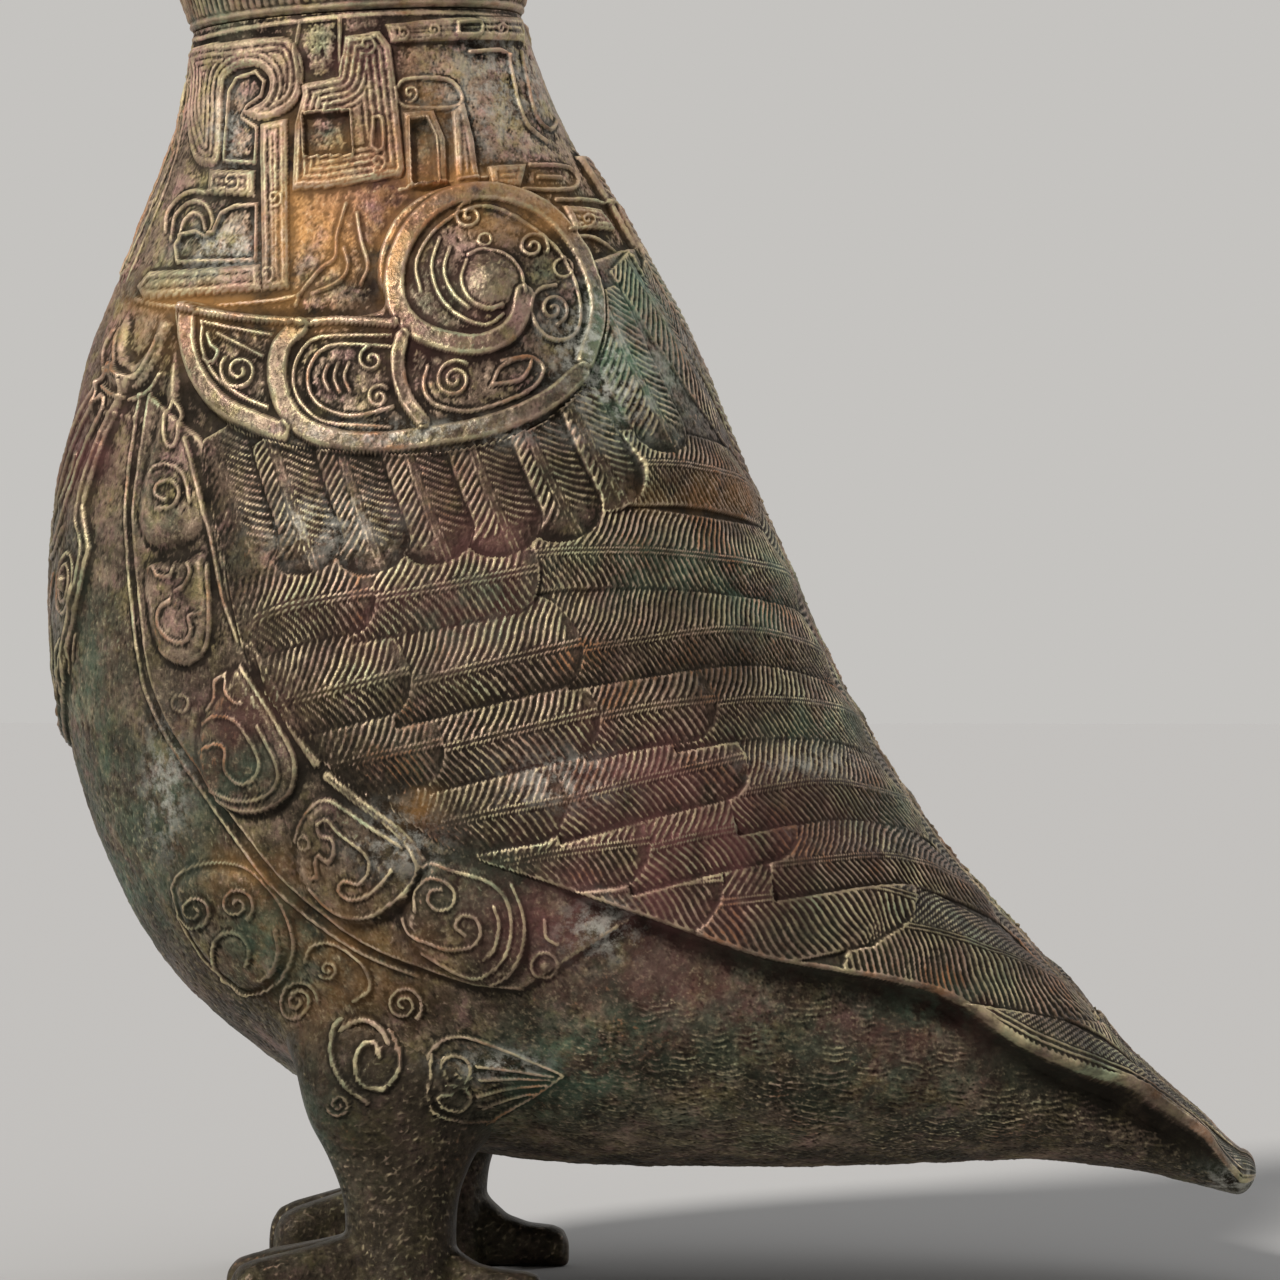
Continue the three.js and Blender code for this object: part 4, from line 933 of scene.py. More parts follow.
def build(name, points, faces, paint=None):
    """Mesh object from points in millimetres and lists of quads and triangles."""
    mesh = bpy.data.meshes.new(name)
    mesh.vertices.add(len(points))
    mesh.vertices.foreach_set("co", np.ascontiguousarray(points * MM, np.float32).ravel())
    loops = np.concatenate([f.ravel() for f in faces]).astype(np.int32)
    sizes = np.concatenate([np.full(len(f), f.shape[1], np.int32) for f in faces])
    mesh.loops.add(len(loops))
    mesh.loops.foreach_set("vertex_index", loops)
    mesh.polygons.add(len(sizes))
    mesh.polygons.foreach_set("loop_start", (np.cumsum(sizes) - sizes).astype(np.int32))
    mesh.polygons.foreach_set("loop_total", sizes)
    mesh.update(calc_edges=True)
    mesh.shade_smooth()
    if paint is not None:
        layer = mesh.attributes.new("patina", "FLOAT_COLOR", "POINT")
        layer.data.foreach_set("color", np.ascontiguousarray(paint[:, :4], np.float32).ravel())
        layer = mesh.attributes.new("rust", "FLOAT", "POINT")
        layer.data.foreach_set("value", np.ascontiguousarray(paint[:, 4], np.float32))
    obj = bpy.data.objects.new(name, mesh)
    bpy.context.scene.collection.objects.link(obj)
    return obj


def grid_faces(rows, cols, flip=False):
    """Quads of a grid that closes on itself from its last column to its first."""
    i, j = np.mgrid[0:rows - 1, 0:cols]
    k = (j + 1) % cols
    quads = np.stack([i * cols + j, i * cols + k, (i + 1) * cols + k, (i + 1) * cols + j], -1).reshape(-1, 4)
    return quads[:, ::-1] if flip else quads


def cap_faces(first, cols, centre, flip=False):
    """Triangles from a ring of points to one centre point."""
    j = np.arange(cols)
    fan = np.stack([first + j, first + (j + 1) % cols, np.full(cols, centre)], -1)
    return fan[:, ::-1] if flip else fan


def grid_normals(points):
    """Outward directions of a grid that closes on itself."""
    along = np.gradient(points, axis=0)
    across = np.roll(points, -1, 1) - np.roll(points, 1, 1)
    n = np.cross(across, along)
    return n / np.maximum(np.linalg.norm(n, axis=-1, keepdims=True), 1e-9)


def mesh_normals(points, faces):
    """Outward directions of a mesh of quads."""
    n = np.zeros_like(points)
    a, b, c, d = (points[faces[:, k]] for k in range(4))
    flat = np.cross(c - a, d - b)
    for k in range(4):
        np.add.at(n, faces[:, k], flat)
    return n / np.maximum(np.linalg.norm(n, axis=-1, keepdims=True), 1e-9)


def joined(*groups):
    """One set of points, faces and paint from several."""
    points, faces, paint, start = [], [], [], 0
    for p, f, c in groups:
        points.append(p)
        faces += [part + start for part in f]
        paint.append(c)
        start += len(p)
    return np.concatenate(points), faces, np.concatenate(paint)


def plain(count, worn_and_shaded=0.42):
    """Paint without patches."""
    return np.tile(np.array([worn_and_shaded, *PLAIN_PAINT], np.float32), (count, 1))


# Legs
LEG_ALONG, LEG_SPREAD, THIGH_TOP, SHIN = 0.298, 38.0, 0.267, 13.5
TOE_LENGTH, TOE_WIDTH, TOE_SPLAY, SPUR_LENGTH, TOE_FULLNESS = 37.5, 11.0, 24, 30.5, 0.65
LEFT_TOES, RIGHT_TOES = 0.7, 1.0  # the near foot's toes are lower in the photo
# Share of the height, half length and half breadth against the shin, shift to the tail, lean to the side
LEG_ROWS = np.array([(0, 0.95, 0.98, 0, 0), (0.14, 0.88, 0.92, 0, 0), (0.3, 0.92, 0.9, 0, 0),
                     (0.42, 1.16, 1, 0, 0), (0.53, 1.46, 1.16, 0, 1), (0.66, 1.74, 1.3, 1.5, 2),
                     (0.8, 1.85, 1.25, 2, 0), (0.92, 1.6, 0.9, 1, -4), (1, 0.9, 0.4, 1, -10)])
LEG_X = side_point(LEG_ALONG, 0)[0]
FILLET, FILLET_UP = 8.0, (20, 40)  # reach of the rounding, and the heights between which it comes in
LEG_VOXEL, SOFT_PASSES = 0.7, 5
SHANK_ROWS, SHANK_COLS, TOE_COLS = 50, 64, 40
# Relief only where the leg faces sideways, and clear of the sole
SHIN_FACING, SOLE_FADE = (0.15, 0.5), (0.3, 2.5)


def leg_row(up):
    """Half sizes and middle of the left leg's shank at a height."""
    share = np.clip(up / (THIGH_TOP * RIM_HEIGHT), 0, 1)
    long, broad, shift, lean = (smooth(LEG_ROWS[:, 0], LEG_ROWS[:, k], share) for k in range(1, 5))
    return long * SHIN, broad * SHIN, LEG_X + shift, -LEG_SPREAD - lean


def leg_gap(points):
    """Rough distance of points on the left from the shank."""
    long, broad, x, y = leg_row(points[..., 2])
    across = np.abs((points[..., 1] - y) / broad) ** (1 / FULLNESS)
    gap = (np.hypot((points[..., 0] - x) / long, across) - 1) * np.minimum(long, broad)
    return np.maximum(gap, points[..., 2] - THIGH_TOP * RIM_HEIGHT)


def fillet(gap):
    """Push that rounds the corner between two forms."""
    return FILLET / 4 * np.maximum(1 - np.abs(gap) / FILLET, 0) ** 2


def closed_loft(rings):
    """Grid of rings with both ends drawn in to a point."""
    ends = [np.repeat(r.mean(0, keepdims=True), len(r), 0) for r in (rings[0], rings[-1])]
    stack = np.array([ends[0], *rings, ends[1]])
    return stack.reshape(-1, 3), grid_faces(*stack.shape[:2])


def shank_rings():
    """Rings of the left shin and thigh, from the ground up."""
    turn = np.linspace(0, 2 * math.pi, SHANK_COLS, endpoint=False)
    rings = []
    for up in np.linspace(0, THIGH_TOP * RIM_HEIGHT, SHANK_ROWS):
        long, broad, x, y = leg_row(np.array(up))
        rings.append(np.stack([x - long * np.cos(turn), y + broad * fuller(np.sin(turn)), up + 0 * turn], -1))
    return rings


# Share of the length from the leg's axis, height, share of the width
TOE_PROFILE = [(0, 25, 0.9), (0.3, 21, 0.95), (0.5, 18.2, 1), (0.7, 16, 1), (0.85, 14.4, 0.98),
               (0.94, 12.8, 0.9), (0.985, 10, 0.72), (1, 7, 0.4)]
SPUR_PROFILE = [(0, 25, 0.9), (0.3, 20, 0.95), (0.42, 15, 1), (0.54, 11.6, 1), (0.7, 9.8, 1),
                (0.88, 9.2, 0.95), (0.96, 8.2, 0.75), (1, 5.5, 0.4)]


def toe_rings(length, heading, profile, height):
    """Blunt toe, flat below, from the leg's axis outward."""
    turn = np.linspace(0, 2 * math.pi, TOE_COLS, endpoint=False)
    box = [fuller(f(turn), TOE_FULLNESS) for f in (np.cos, np.sin)]
    c, s = math.cos(heading), math.sin(heading)
    rings = []
    for share, high, wide in profile:
        along = share * length
        across = wide * TOE_WIDTH / 2 * box[0]
        up = high * height * (0.5 + 0.5 * box[1])
        rings.append(np.stack([LEG_X + along * c - across * s, -LEG_SPREAD + along * s + across * c, up], -1))
    return rings


def fused(parts, voxel):
    """One soft skin round overlapping closed forms."""
    points, faces, start = [], [], 0
    for p, f in parts:
        points.append(p)
        faces.append(f + start)
        start += len(p)
    rough = build("rough_form", np.concatenate(points), [np.concatenate(faces)])
    remesh = rough.modifiers.new("fuse", "REMESH")
    remesh.mode = "VOXEL"
    remesh.voxel_size = voxel * MM
    soften = rough.modifiers.new("soften", "SMOOTH")
    soften.iterations = SOFT_PASSES
    skin = rough.evaluated_get(bpy.context.evaluated_depsgraph_get()).to_mesh()
    co = np.empty(len(skin.vertices) * 3, np.float32)
    skin.vertices.foreach_get("co", co)
    corners = np.empty(len(skin.loops), np.int32)
    skin.loops.foreach_get("vertex_index", corners)
    bpy.data.objects.remove(rough)
    return co.reshape(-1, 3).astype(float) / MM, corners.reshape(-1, 4)


def leg(toe_height):
    """Points, faces and paint of a left leg."""
    parts = [shank_rings(), toe_rings(SPUR_LENGTH, 0.0, SPUR_PROFILE, toe_height)]
    for turn in (-TOE_SPLAY, 0, TOE_SPLAY):
        parts.append(toe_rings(TOE_LENGTH, math.pi + math.radians(turn), TOE_PROFILE, toe_height))
    points, faces = fused([closed_loft(rings) for rings in parts], LEG_VOXEL)
    out = mesh_normals(points, faces)
    px = project(points)
    facing = ease(np.abs(out[:, 1]), *SHIN_FACING) * ease(points[:, 2], *SOLE_FADE)
    lift = shin.sample(shin.fine, px) * facing + fillet(body_gap(points)) * ease(points[:, 2], *FILLET_UP)
    points = points + out * lift[:, None]
    points[:, 2] = np.maximum(points[:, 2], 0)
    worn_and_shaded = 0.5 + (shin.sample(shin_wear_and_shade, px) - 0.5) * facing
    return points, faces, np.stack([worn_and_shaded, *(patches(px, blobs) for blobs in STAINS_AND_SHEEN)], -1)


# Vessel skin: rows from the rim to the tail, columns from the back over the left side and back on the right
MIDDLE_PHI, ANGLE_STEPS = 0.8, 400


def side_angles(count):
    """Angles that give even columns at the vessel's middle."""
    t = np.linspace(0, math.pi, ANGLE_STEPS)
    mid = surface(np.full_like(t, MIDDLE_PHI), t)
    length = np.concatenate([[0], np.cumsum(np.linalg.norm(np.diff(mid, axis=0), axis=1))])
    return np.interp(np.linspace(0, length[-1], count), length, t)


def chart_grid(phi, ang):
    """Chart places of a grid of one half."""
    phi2, ang2 = np.meshgrid(phi, ang, indexing="ij")
    base = surface(phi2, ang2)
    steps = np.linalg.norm(np.diff(base, axis=1), axis=2)
    arc = np.concatenate([np.zeros((len(phi), 1)), np.cumsum(steps, axis=1)], 1)
    half_way = np.array([np.interp(math.pi / 2, ang, a) for a in arc])
    middle = (smooth(*BACK_POLAR, phi) + smooth(*FRONT_POLAR, phi)) / 2
    return base, chart(phi2, (middle[:, None] + arc - half_way[:, None]) / PX)


ROWS, LEFT_COLS, RIGHT_COLS = ((780, 610, 530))
RIM_FADE, TIP_FADE, TIP_RELIEF = 0.012, 0.05, 0.3
TIP_ROWS, TIP_REACH = 8, 3.6
row_phi = np.linspace(FIRST, LAST, ROWS)
left_base, left_uv = chart_grid(row_phi, side_angles(LEFT_COLS))
right_base, right_uv = chart_grid(row_phi, side_angles(RIGHT_COLS))
base = np.concatenate([left_base, (right_base * (1, -1, 1))[:, -2:0:-1]], 1)
uv = np.concatenate([left_uv, right_uv[:, -2:0:-1]], 1)
cols = base.shape[1]
left_side = base * (1, 0, 1) - (0, 1, 0) * np.abs(base)
lift = cast.sample(cast.fine, uv) * ease(row_phi, FIRST, FIRST + RIM_FADE)[:, None]
lift = lift * (TIP_RELIEF + (1 - TIP_RELIEF) * ease(LAST - row_phi, 0, TIP_FADE))[:, None]
lift = lift + fillet(leg_gap(left_side)) * ease(left_side[..., 2], *FILLET_UP)
skin_points = base + grid_normals(base) * lift[..., None]
px = project(left_side)
paint = np.stack([cast.sample(cast_wear_and_shade, uv), *(patches(px, blobs) for blobs in STAINS_AND_SHEEN)], -1)
middle = skin_points[-1].mean(0)
tip_way = np.array([math.sin(LAST), 0, -math.cos(LAST)])
tip_rows = [middle + (skin_points[-1] - middle) * math.cos(t) + TIP_REACH * math.sin(t) * tip_way
            for t in np.linspace(0, math.pi / 2, TIP_ROWS + 1)[1:-1]]
skin_points = np.concatenate([skin_points, np.array(tip_rows)])
paint = np.concatenate([paint, np.repeat(paint[-1:], len(tip_rows), 0)])
all_rows = len(skin_points)
skin_points = np.concatenate([skin_points.reshape(-1, 3), [middle + TIP_REACH * tip_way]])
paint = np.concatenate([paint.reshape(-1, 5), paint[-1, :1]])
quads = grid_faces(all_rows, cols)
cells = ((uv[:-1] + uv[1:]) / 2 - cast.low) * cast.scale
cells = np.clip(cells, 0, (cast.cols - 1, cast.rows - 1)).astype(int)
kind = region[cells[..., 1], cells[..., 0]]
kind = np.concatenate([kind, np.full((all_rows - ROWS, cols), TAIL, np.int8)]).ravel()
on_left = np.tile(np.arange(cols) < LEFT_COLS - 1, all_rows - 1)


def part(pick, extra=None):
    """Some of the skin's faces, with only the points they use."""
    faces = [quads[pick]] + ([extra] if extra is not None else [])
    used, index = np.unique(np.concatenate([f.ravel() for f in faces]), return_inverse=True)
    split = faces[0].size
    out = [index[:split].reshape(-1, 4)] + ([index[split:].reshape(-1, 3)] if extra is not None else [])
    return skin_points[used], out, paint[used]


# Inside of the vessel and its rim
RING_COLS, CAVITY_ROWS, CAVITY_END = 120, 70, math.radians(79)
# Levels of bare metal for plain parts, which also set their painted shade and highlight
CAVITY_WEAR_AND_SHADE, RIM_WEAR_AND_SHADE, LID_WEAR_AND_SHADE = 0.3, 0.6, 0.4
inner_turn = np.linspace(0, 2 * math.pi, RING_COLS, endpoint=False)
inner_phi, inner_ang = np.meshgrid(np.linspace(FIRST, CAVITY_END, CAVITY_ROWS), inner_turn, indexing="ij")
fold = np.where(inner_ang > math.pi, 2 * math.pi - inner_ang, inner_ang)
flip_side = np.where(inner_ang > math.pi, -1, 1)
inner = surface(inner_phi, fold, BODY_WALL)
outer = surface(inner_phi[:1], fold[:1])
inner[..., 1] *= flip_side
outer[..., 1] *= flip_side[:1]
lip = np.concatenate([outer, inner[:1]]).reshape(-1, 3)
floor_point = inner[-1].mean(0, keepdims=True)
cavity_points = np.concatenate([inner.reshape(-1, 3), floor_point])
cavity_end = (CAVITY_ROWS - 1) * RING_COLS
cavity_faces = [grid_faces(CAVITY_ROWS, RING_COLS, True),
                cap_faces(cavity_end, RING_COLS, cavity_end + RING_COLS, True)]
cavity = (cavity_points, cavity_faces, plain(len(cavity_points), CAVITY_WEAR_AND_SHADE))
rim = (lip, [grid_faces(2, RING_COLS, True)], plain(len(lip), RIM_WEAR_AND_SHADE))

PIECES = {
    "body_vessel": [part(kind == BODY), cavity, rim],
    "left_wing": [part((kind == WING) & on_left)], "right_wing": [part((kind == WING) & ~on_left)],
    "left_shoulder_coil": [part((kind == COIL) & on_left)],
    "right_shoulder_coil": [part((kind == COIL) & ~on_left)],
    "tail_feathers": [part(kind == TAIL, cap_faces((all_rows - 1) * cols, cols, all_rows * cols))],
    "breast_mask": [part(kind == MASK)],
}
leg_points, leg_faces, leg_paint = leg(LEFT_TOES)
PIECES["left_leg"] = [(leg_points, [leg_faces], leg_paint)]
leg_points, leg_faces, leg_paint = leg(RIGHT_TOES)
PIECES["right_leg"] = [(leg_points * (1, -1, 1), [leg_faces[:, ::-1]], leg_paint)]

# Head skin and its underside with the spigot
head_rows, head_cols = ((210, 440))
ball, head_turn, run, _ = head_rings(head_rows, head_cols)
head_uv = np.stack(np.meshgrid(head_turn * DEGREE, run), -1)
head_out = grid_normals(ball)
head_out *= np.sign((head_out * (ball - (0, 0, HEAD_HEIGHT / 3))).sum(-1, keepdims=True))
HEAD_FADE, TOP_RISE, VAULT_START = (0.2, 1.5), 0.6, 7
ball = ball + head_out * crown.sample(crown.fine, head_uv)[..., None] * ease(run, *HEAD_FADE)[:, None, None]
head_worn_and_shaded = crown.sample(crown_wear_and_shade, head_uv).reshape(-1)
top = ball[-1].mean(0, keepdims=True) + (0, 0, TOP_RISE)
head_points = np.concatenate([ball.reshape(-1, 3), top])
head_paint = plain(len(head_points))
head_paint[:-1, 0] = head_worn_and_shaded
head_end = (head_rows - 1) * head_cols
head_faces = [grid_faces(head_rows, head_cols), cap_faces(head_end, head_cols, len(head_points) - 1)]


def level_ring(long, broad, up, shift=0.0):
    """Oval at one height in the head's own frame."""
    turn = np.linspace(-math.pi, math.pi, RING_COLS, endpoint=False)
    return np.stack([shift - long * np.cos(turn), broad * fuller(np.sin(turn)), up + 0 * turn], -1)


def band(*rings):
    """Strip of faces from ring to ring."""
    points = np.concatenate(rings)
    return head_place(points), [grid_faces(len(rings), RING_COLS, True)], plain(len(points), LID_WEAR_AND_SHADE)


spigot = BODY_WALL + SPIGOT_CLEARANCE
bore = spigot + SPIGOT_WALL
inset = [level_ring(RIM_LONG - by, RIM_BROAD - by, up) for by, up in
         [(0, SEAM), (spigot, SEAM), (spigot, -SPIGOT_DEPTH), (bore, -SPIGOT_DEPTH), (bore, LID_WALL)]]
vault = []
for up, long, broad, shift in HEAD_ROWS[:-1]:
    level = up * HEAD_HEIGHT - LID_WALL + (0 if vault else VAULT_START)
    vault.append(level_ring(long * RIM_LONG - LID_WALL, broad * RIM_BROAD - LID_WALL, level, shift))
PIECES["head_lid"] = [(head_place(head_points), head_faces, head_paint),
                      *(band(*pair) for pair in zip(inset, inset[1:])),
                      band(inset[-1], vault[0]), band(*vault)]

# Beaks, ear tufts and eyes
TIP_ROUND, TUFT_BARBS, TUFT_SLANT, TUFT_SHAFT = 0.35, 4, 5, 0.2
# Bare-metal levels of the horns, which also set painted shade in grooves and painted highlight on ridges and
# tips
HOOK_WEAR_AND_SHADE, GROOVE_WEAR_AND_SHADE, TIP_WEAR_AND_SHADE, TIP_STATIONS = 0.45, 4, 0.2, (2.5, 4)


def hook_form(stations, count, around, tilt=0.0, shift=0.0, grooves=0.0):
    """Bent horn through stations of place, height and half sizes, closed at both ends."""
    s = np.array(stations, float)
    at = np.linspace(0, len(s) - 1, count)
    x, z, deep, broad = (smooth(np.arange(len(s)), s[:, k], at) for k in range(4))
    slope = np.arctan2(np.gradient(z), np.gradient(x))
    taper = np.sqrt(np.clip(1 - ((at - at[-1] + TIP_ROUND) / TIP_ROUND).clip(0) ** 2, 0.01, 1))
    turn = np.linspace(0, 2 * math.pi, around, endpoint=False)
    barbs = np.cos(2 * math.pi * (TUFT_BARBS * at[:, None] - TUFT_SLANT * np.abs(np.sin(turn))))
    shaft = np.exp(-(np.sin(turn) / TUFT_SHAFT) ** 2)
    ripple = 1 + grooves * (barbs * (1 - shaft) + 2 * shaft) * ease(at, 0, 1)[:, None]
    rise = (deep * taper)[:, None] * np.cos(turn) * ripple
    points = np.stack([x[:, None] - rise * np.sin(slope)[:, None],
                       (broad * taper)[:, None] * np.sin(turn) * ripple,
                       z[:, None] + rise * np.cos(slope)[:, None]], -1)
    ends = [points[0].mean(0, keepdims=True), points[-1].mean(0, keepdims=True)]
    points = np.concatenate([points.reshape(-1, 3), *ends])
    c, sn = math.cos(tilt), math.sin(tilt)
    points = np.stack([points[:, 0], points[:, 1] * c - points[:, 2] * sn + shift,
                       points[:, 1] * sn + points[:, 2] * c], -1)
    faces = [grid_faces(count, around, True), cap_faces(0, around, count * around),
             cap_faces((count - 1) * around, around, count * around + 1, True)]
    colours = plain(len(points))
    worn_and_shaded = HOOK_WEAR_AND_SHADE + GROOVE_WEAR_AND_SHADE * (ripple - 1) + TIP_WEAR_AND_SHADE * ease(at, *TIP_STATIONS)[:, None]
    colours[:count * around, 0] = np.clip(worn_and_shaded, 0, 1).ravel()
    return head_place(points), faces, colours


# Stations of the beaks and the tufts: place, height, half depth, half breadth
MOUTH_UP, CHIN_UP = 0.44, 0.23
mouth, chin, tuft_top = MOUTH_UP * HEAD_HEIGHT, CHIN_UP * HEAD_HEIGHT, HEAD_HEIGHT + TUFT_RISE
UPPER_BEAK = [(FACE + 8, mouth, 8, 10), (FACE - BEAK_REACH * 0.4, mouth - 1, 7.5, 8),
              (FACE - BEAK_REACH * 0.75, mouth - 5, 6, 5.6), (FACE - BEAK_REACH * 0.95, mouth - 13, 4.4, 3.6),
              (FACE - BEAK_REACH, mouth - 20, 2, 1.8)]
LOWER_BEAK = [(FACE + 9, chin, 4, 7.5), (FACE - BEAK_REACH * 0.3, chin - 1, 3.4, 5),
              (FACE - BEAK_REACH * 0.55, chin - 2, 2, 2.6)]
TUFT = [(-12, tuft_top - 46, 15, 6), (-10, tuft_top - 30, 14, 6), (-5, tuft_top - 16, 11, 5),
        (4, tuft_top - 6, 7, 3.8), (15, tuft_top, 2.4, 2)]
TUFT_TILT, TUFT_OUT, TUFT_GROOVES = math.radians(18), 0.22, 0.045
UPPER_GRID, LOWER_GRID, TUFT_GRID = (60, 64), (40, 48), (110, 110)
# Share of the eye's radius, height, and rubbing, which also paints highlight and shade
EYE_PROFILE = [(1, -10, 0.3), (1, 2, 0.5), (0.985, 2.6, 0.8), (0.92, 3.1, 0.8), (0.84, 3.1, 0.7),
               (0.77, 2.6, 0.4), (0.7, 2.3, 0.15), (0.62, 2.9, 0.3), (0.54, 3.7, 0.5), (0.42, 4.4, 0.6),
               (0.3, 4.8, 0.65), (0.16, 5.1, 0.65), (0.05, 5.2, 0.65)]
EYE_COLS, EYE_OUT = 72, 2


def eye_form(out):
    """Domed eye with a raised rim; out is the side it looks to."""
    turn = math.radians(EYE_TURN)
    t = np.linspace(0, 2 * math.pi, EYE_COLS, endpoint=False)
    rings = []
    for share, up, _ in EYE_PROFILE:
        r = share * EYE_RADIUS
        rings.append(np.stack([np.full(EYE_COLS, -float(up)), r * np.cos(t), r * np.sin(t)], -1))
    points = np.concatenate([np.concatenate(rings), [[-EYE_PROFILE[-1][1], 0, 0]]])
    c, s = math.cos(-out * turn), math.sin(-out * turn)
    side = out * FACE_BROAD * RIM_BROAD * math.sin(turn)
    spot = (FACE * math.cos(turn) - EYE_OUT, side, EYE_UP * HEAD_HEIGHT)
    x, y, z = points.T
    points = np.stack([x * c - y * s, x * s + y * c, z], -1) + spot
    rows = len(EYE_PROFILE)
    colours = plain(len(points))
    colours[:-1, 0] = np.repeat([worn_and_shaded for _, _, worn_and_shaded in EYE_PROFILE], EYE_COLS)
    faces = [grid_faces(rows, EYE_COLS), cap_faces((rows - 1) * EYE_COLS, EYE_COLS, rows * EYE_COLS)]
    return head_place(points), faces, colours


PIECES["upper_beak"] = [hook_form(UPPER_BEAK, *UPPER_GRID)]
PIECES["lower_beak"] = [hook_form(LOWER_BEAK, *LOWER_GRID)]
for name, out in (("left", -1), ("right", 1)):
    tilt, shift = -out * TUFT_TILT, out * TUFT_OUT * RIM_BROAD
    PIECES[name + "_ear_tuft"] = [hook_form(TUFT, *TUFT_GRID, tilt, shift, TUFT_GROOVES)]
    PIECES[name + "_eye"] = [eye_form(out)]

# Patina colours, painted shade, sheen and highlights among them; the bare metal's are also warmed and toned
# by each finish
METAL_RAMP = [(0.36, (0.024, 0.017, 0.012)), (0.47, (0.078, 0.054, 0.038)), (0.56, (0.155, 0.108, 0.076)),
              (0.68, (0.31, 0.225, 0.160))]
# The rose tint is partly a painted sheen
METAL_OCHRE, METAL_PINK_AND_SHEEN, METAL_OLIVE = (0.200, 0.165, 0.070), (0.255, 0.145, 0.130), (0.105, 0.130, 0.080)
METAL_SPECK = (0.200, 0.160, 0.100)
MALACHITE, MALACHITE_TOP = (0.125, 0.260, 0.170), (0.20, 0.36, 0.24)
CUPRITE, CUPRITE_TOP = (0.185, 0.066, 0.066), (0.26, 0.100, 0.095)
EARTH, EARTH_TOP = (0.440, 0.215, 0.075), (0.46, 0.24, 0.08)
# Dark grime with painted shade for low parts, and its veil over edges
LOW_GRIME_AND_SHADE, LOW_GRIME_AND_SHADE_TOP = (0.024, 0.019, 0.012), (0.030, 0.024, 0.016)
# The colour for hollows is dirt with painted shade; the chalky colour is whitish crust with painted sheen
PIT, HOLLOW_DIRT_AND_SHADE, CHALK_AND_SHEEN = (0.012, 0.009, 0.007), (0.014, 0.011, 0.008), (0.58, 0.57, 0.50)
# Colours of bare edges, which are also painted highlights
RUBBED_AND_LIT_RAMP = [(0.38, (0.52, 0.25, 0.12)), (0.46, (0.64, 0.46, 0.34)), (0.54, (0.76, 0.63, 0.37)),
               (0.64, (0.50, 0.55, 0.34))]
# Painted shade from above together with grime: darker towards the ground
LOW_GRIME_AND_SHADE_BY_HEIGHT = [(0.04, 0.96), (0.11, 0.91), (0.17, 0.66), (0.22, 0.28), (0.27, 0.0)]
DULL = (0.85, 0.85, 0.85)  # roughness of the hollows
# Noise: scale, detail, seed and roughness
METAL_NOISE, GRAIN_NOISE = (75, 10, 1.0, 0.72), (700, 4, 29.0, 0.65)
POLISH_NOISE, PIT_NOISE = (70, 6, 13.0, 0.55), (1100, 5, 17.0, 0.6)
# Noise patterns with the stops of the ramp they go through
PATTERNS = {
    "ochre": ((120, 7, 21.0, 0.7), (0.50, 0.0), (0.62, 0.65)),
    "pink_and_sheen": ((105, 7, 23.0, 0.7), (0.52, 0.0), (0.64, 0.65)),
    "olive": ((34, 9, 9.0, 0.7), (0.53, 0.0), (0.66, 0.7)),
    "green": ((120, 7, 3.0, 0.7), (0.42, 0.0), (0.57, 1.0)),
    "red": ((90, 7, 5.0, 0.65), (0.38, 0.1), (0.58, 0.9)),
    "earth": ((110, 7, 19.0, 0.65), (0.38, 0.0), (0.58, 0.85)),
    "low_grime_and_shade": ((85, 7, 27.0, 0.7), (0.38, 0.5), (0.58, 1.0)),
    "hollow_dirt_and_shade": ((150, 5, 15.0, 0.55), (0.35, 0.75), (0.6, 1.0)),
    "pale_and_sheen": ((260, 6, 7.0, 0.75), (0.46, 0.0), (0.58, 0.95)),
    "edge": ((190, 6, 11.0, 0.7), (0.36, 0.2), (0.60, 1.0)),
    "handled_and_lit": ((48, 6, 31.0, 0.6), (0.40, 0.3), (0.56, 1.0)),
    "rubbed_and_lit": ((55, 6, 25.0, 0.65), *RUBBED_AND_LIT_RAMP),
}
GRAIN_PITS, EARTH_VEIL = ((0.30, 0.7), (0.46, 0.0)), ((0.0, 0.0), (1.0, 0.7))
HOLLOW_DIRT_AND_SHADE_STOPS, EDGE_WEAR_AND_HIGHLIGHT_STOPS = ((0.16, 1.0), (0.48, 0.0)), ((0.55, 0.0), (0.80, 0.95))
METAL_SHARE, SPECULAR, PIT_STRENGTH, PIT_DEPTH = 0.25, 0.1, 0.5, 0.0005


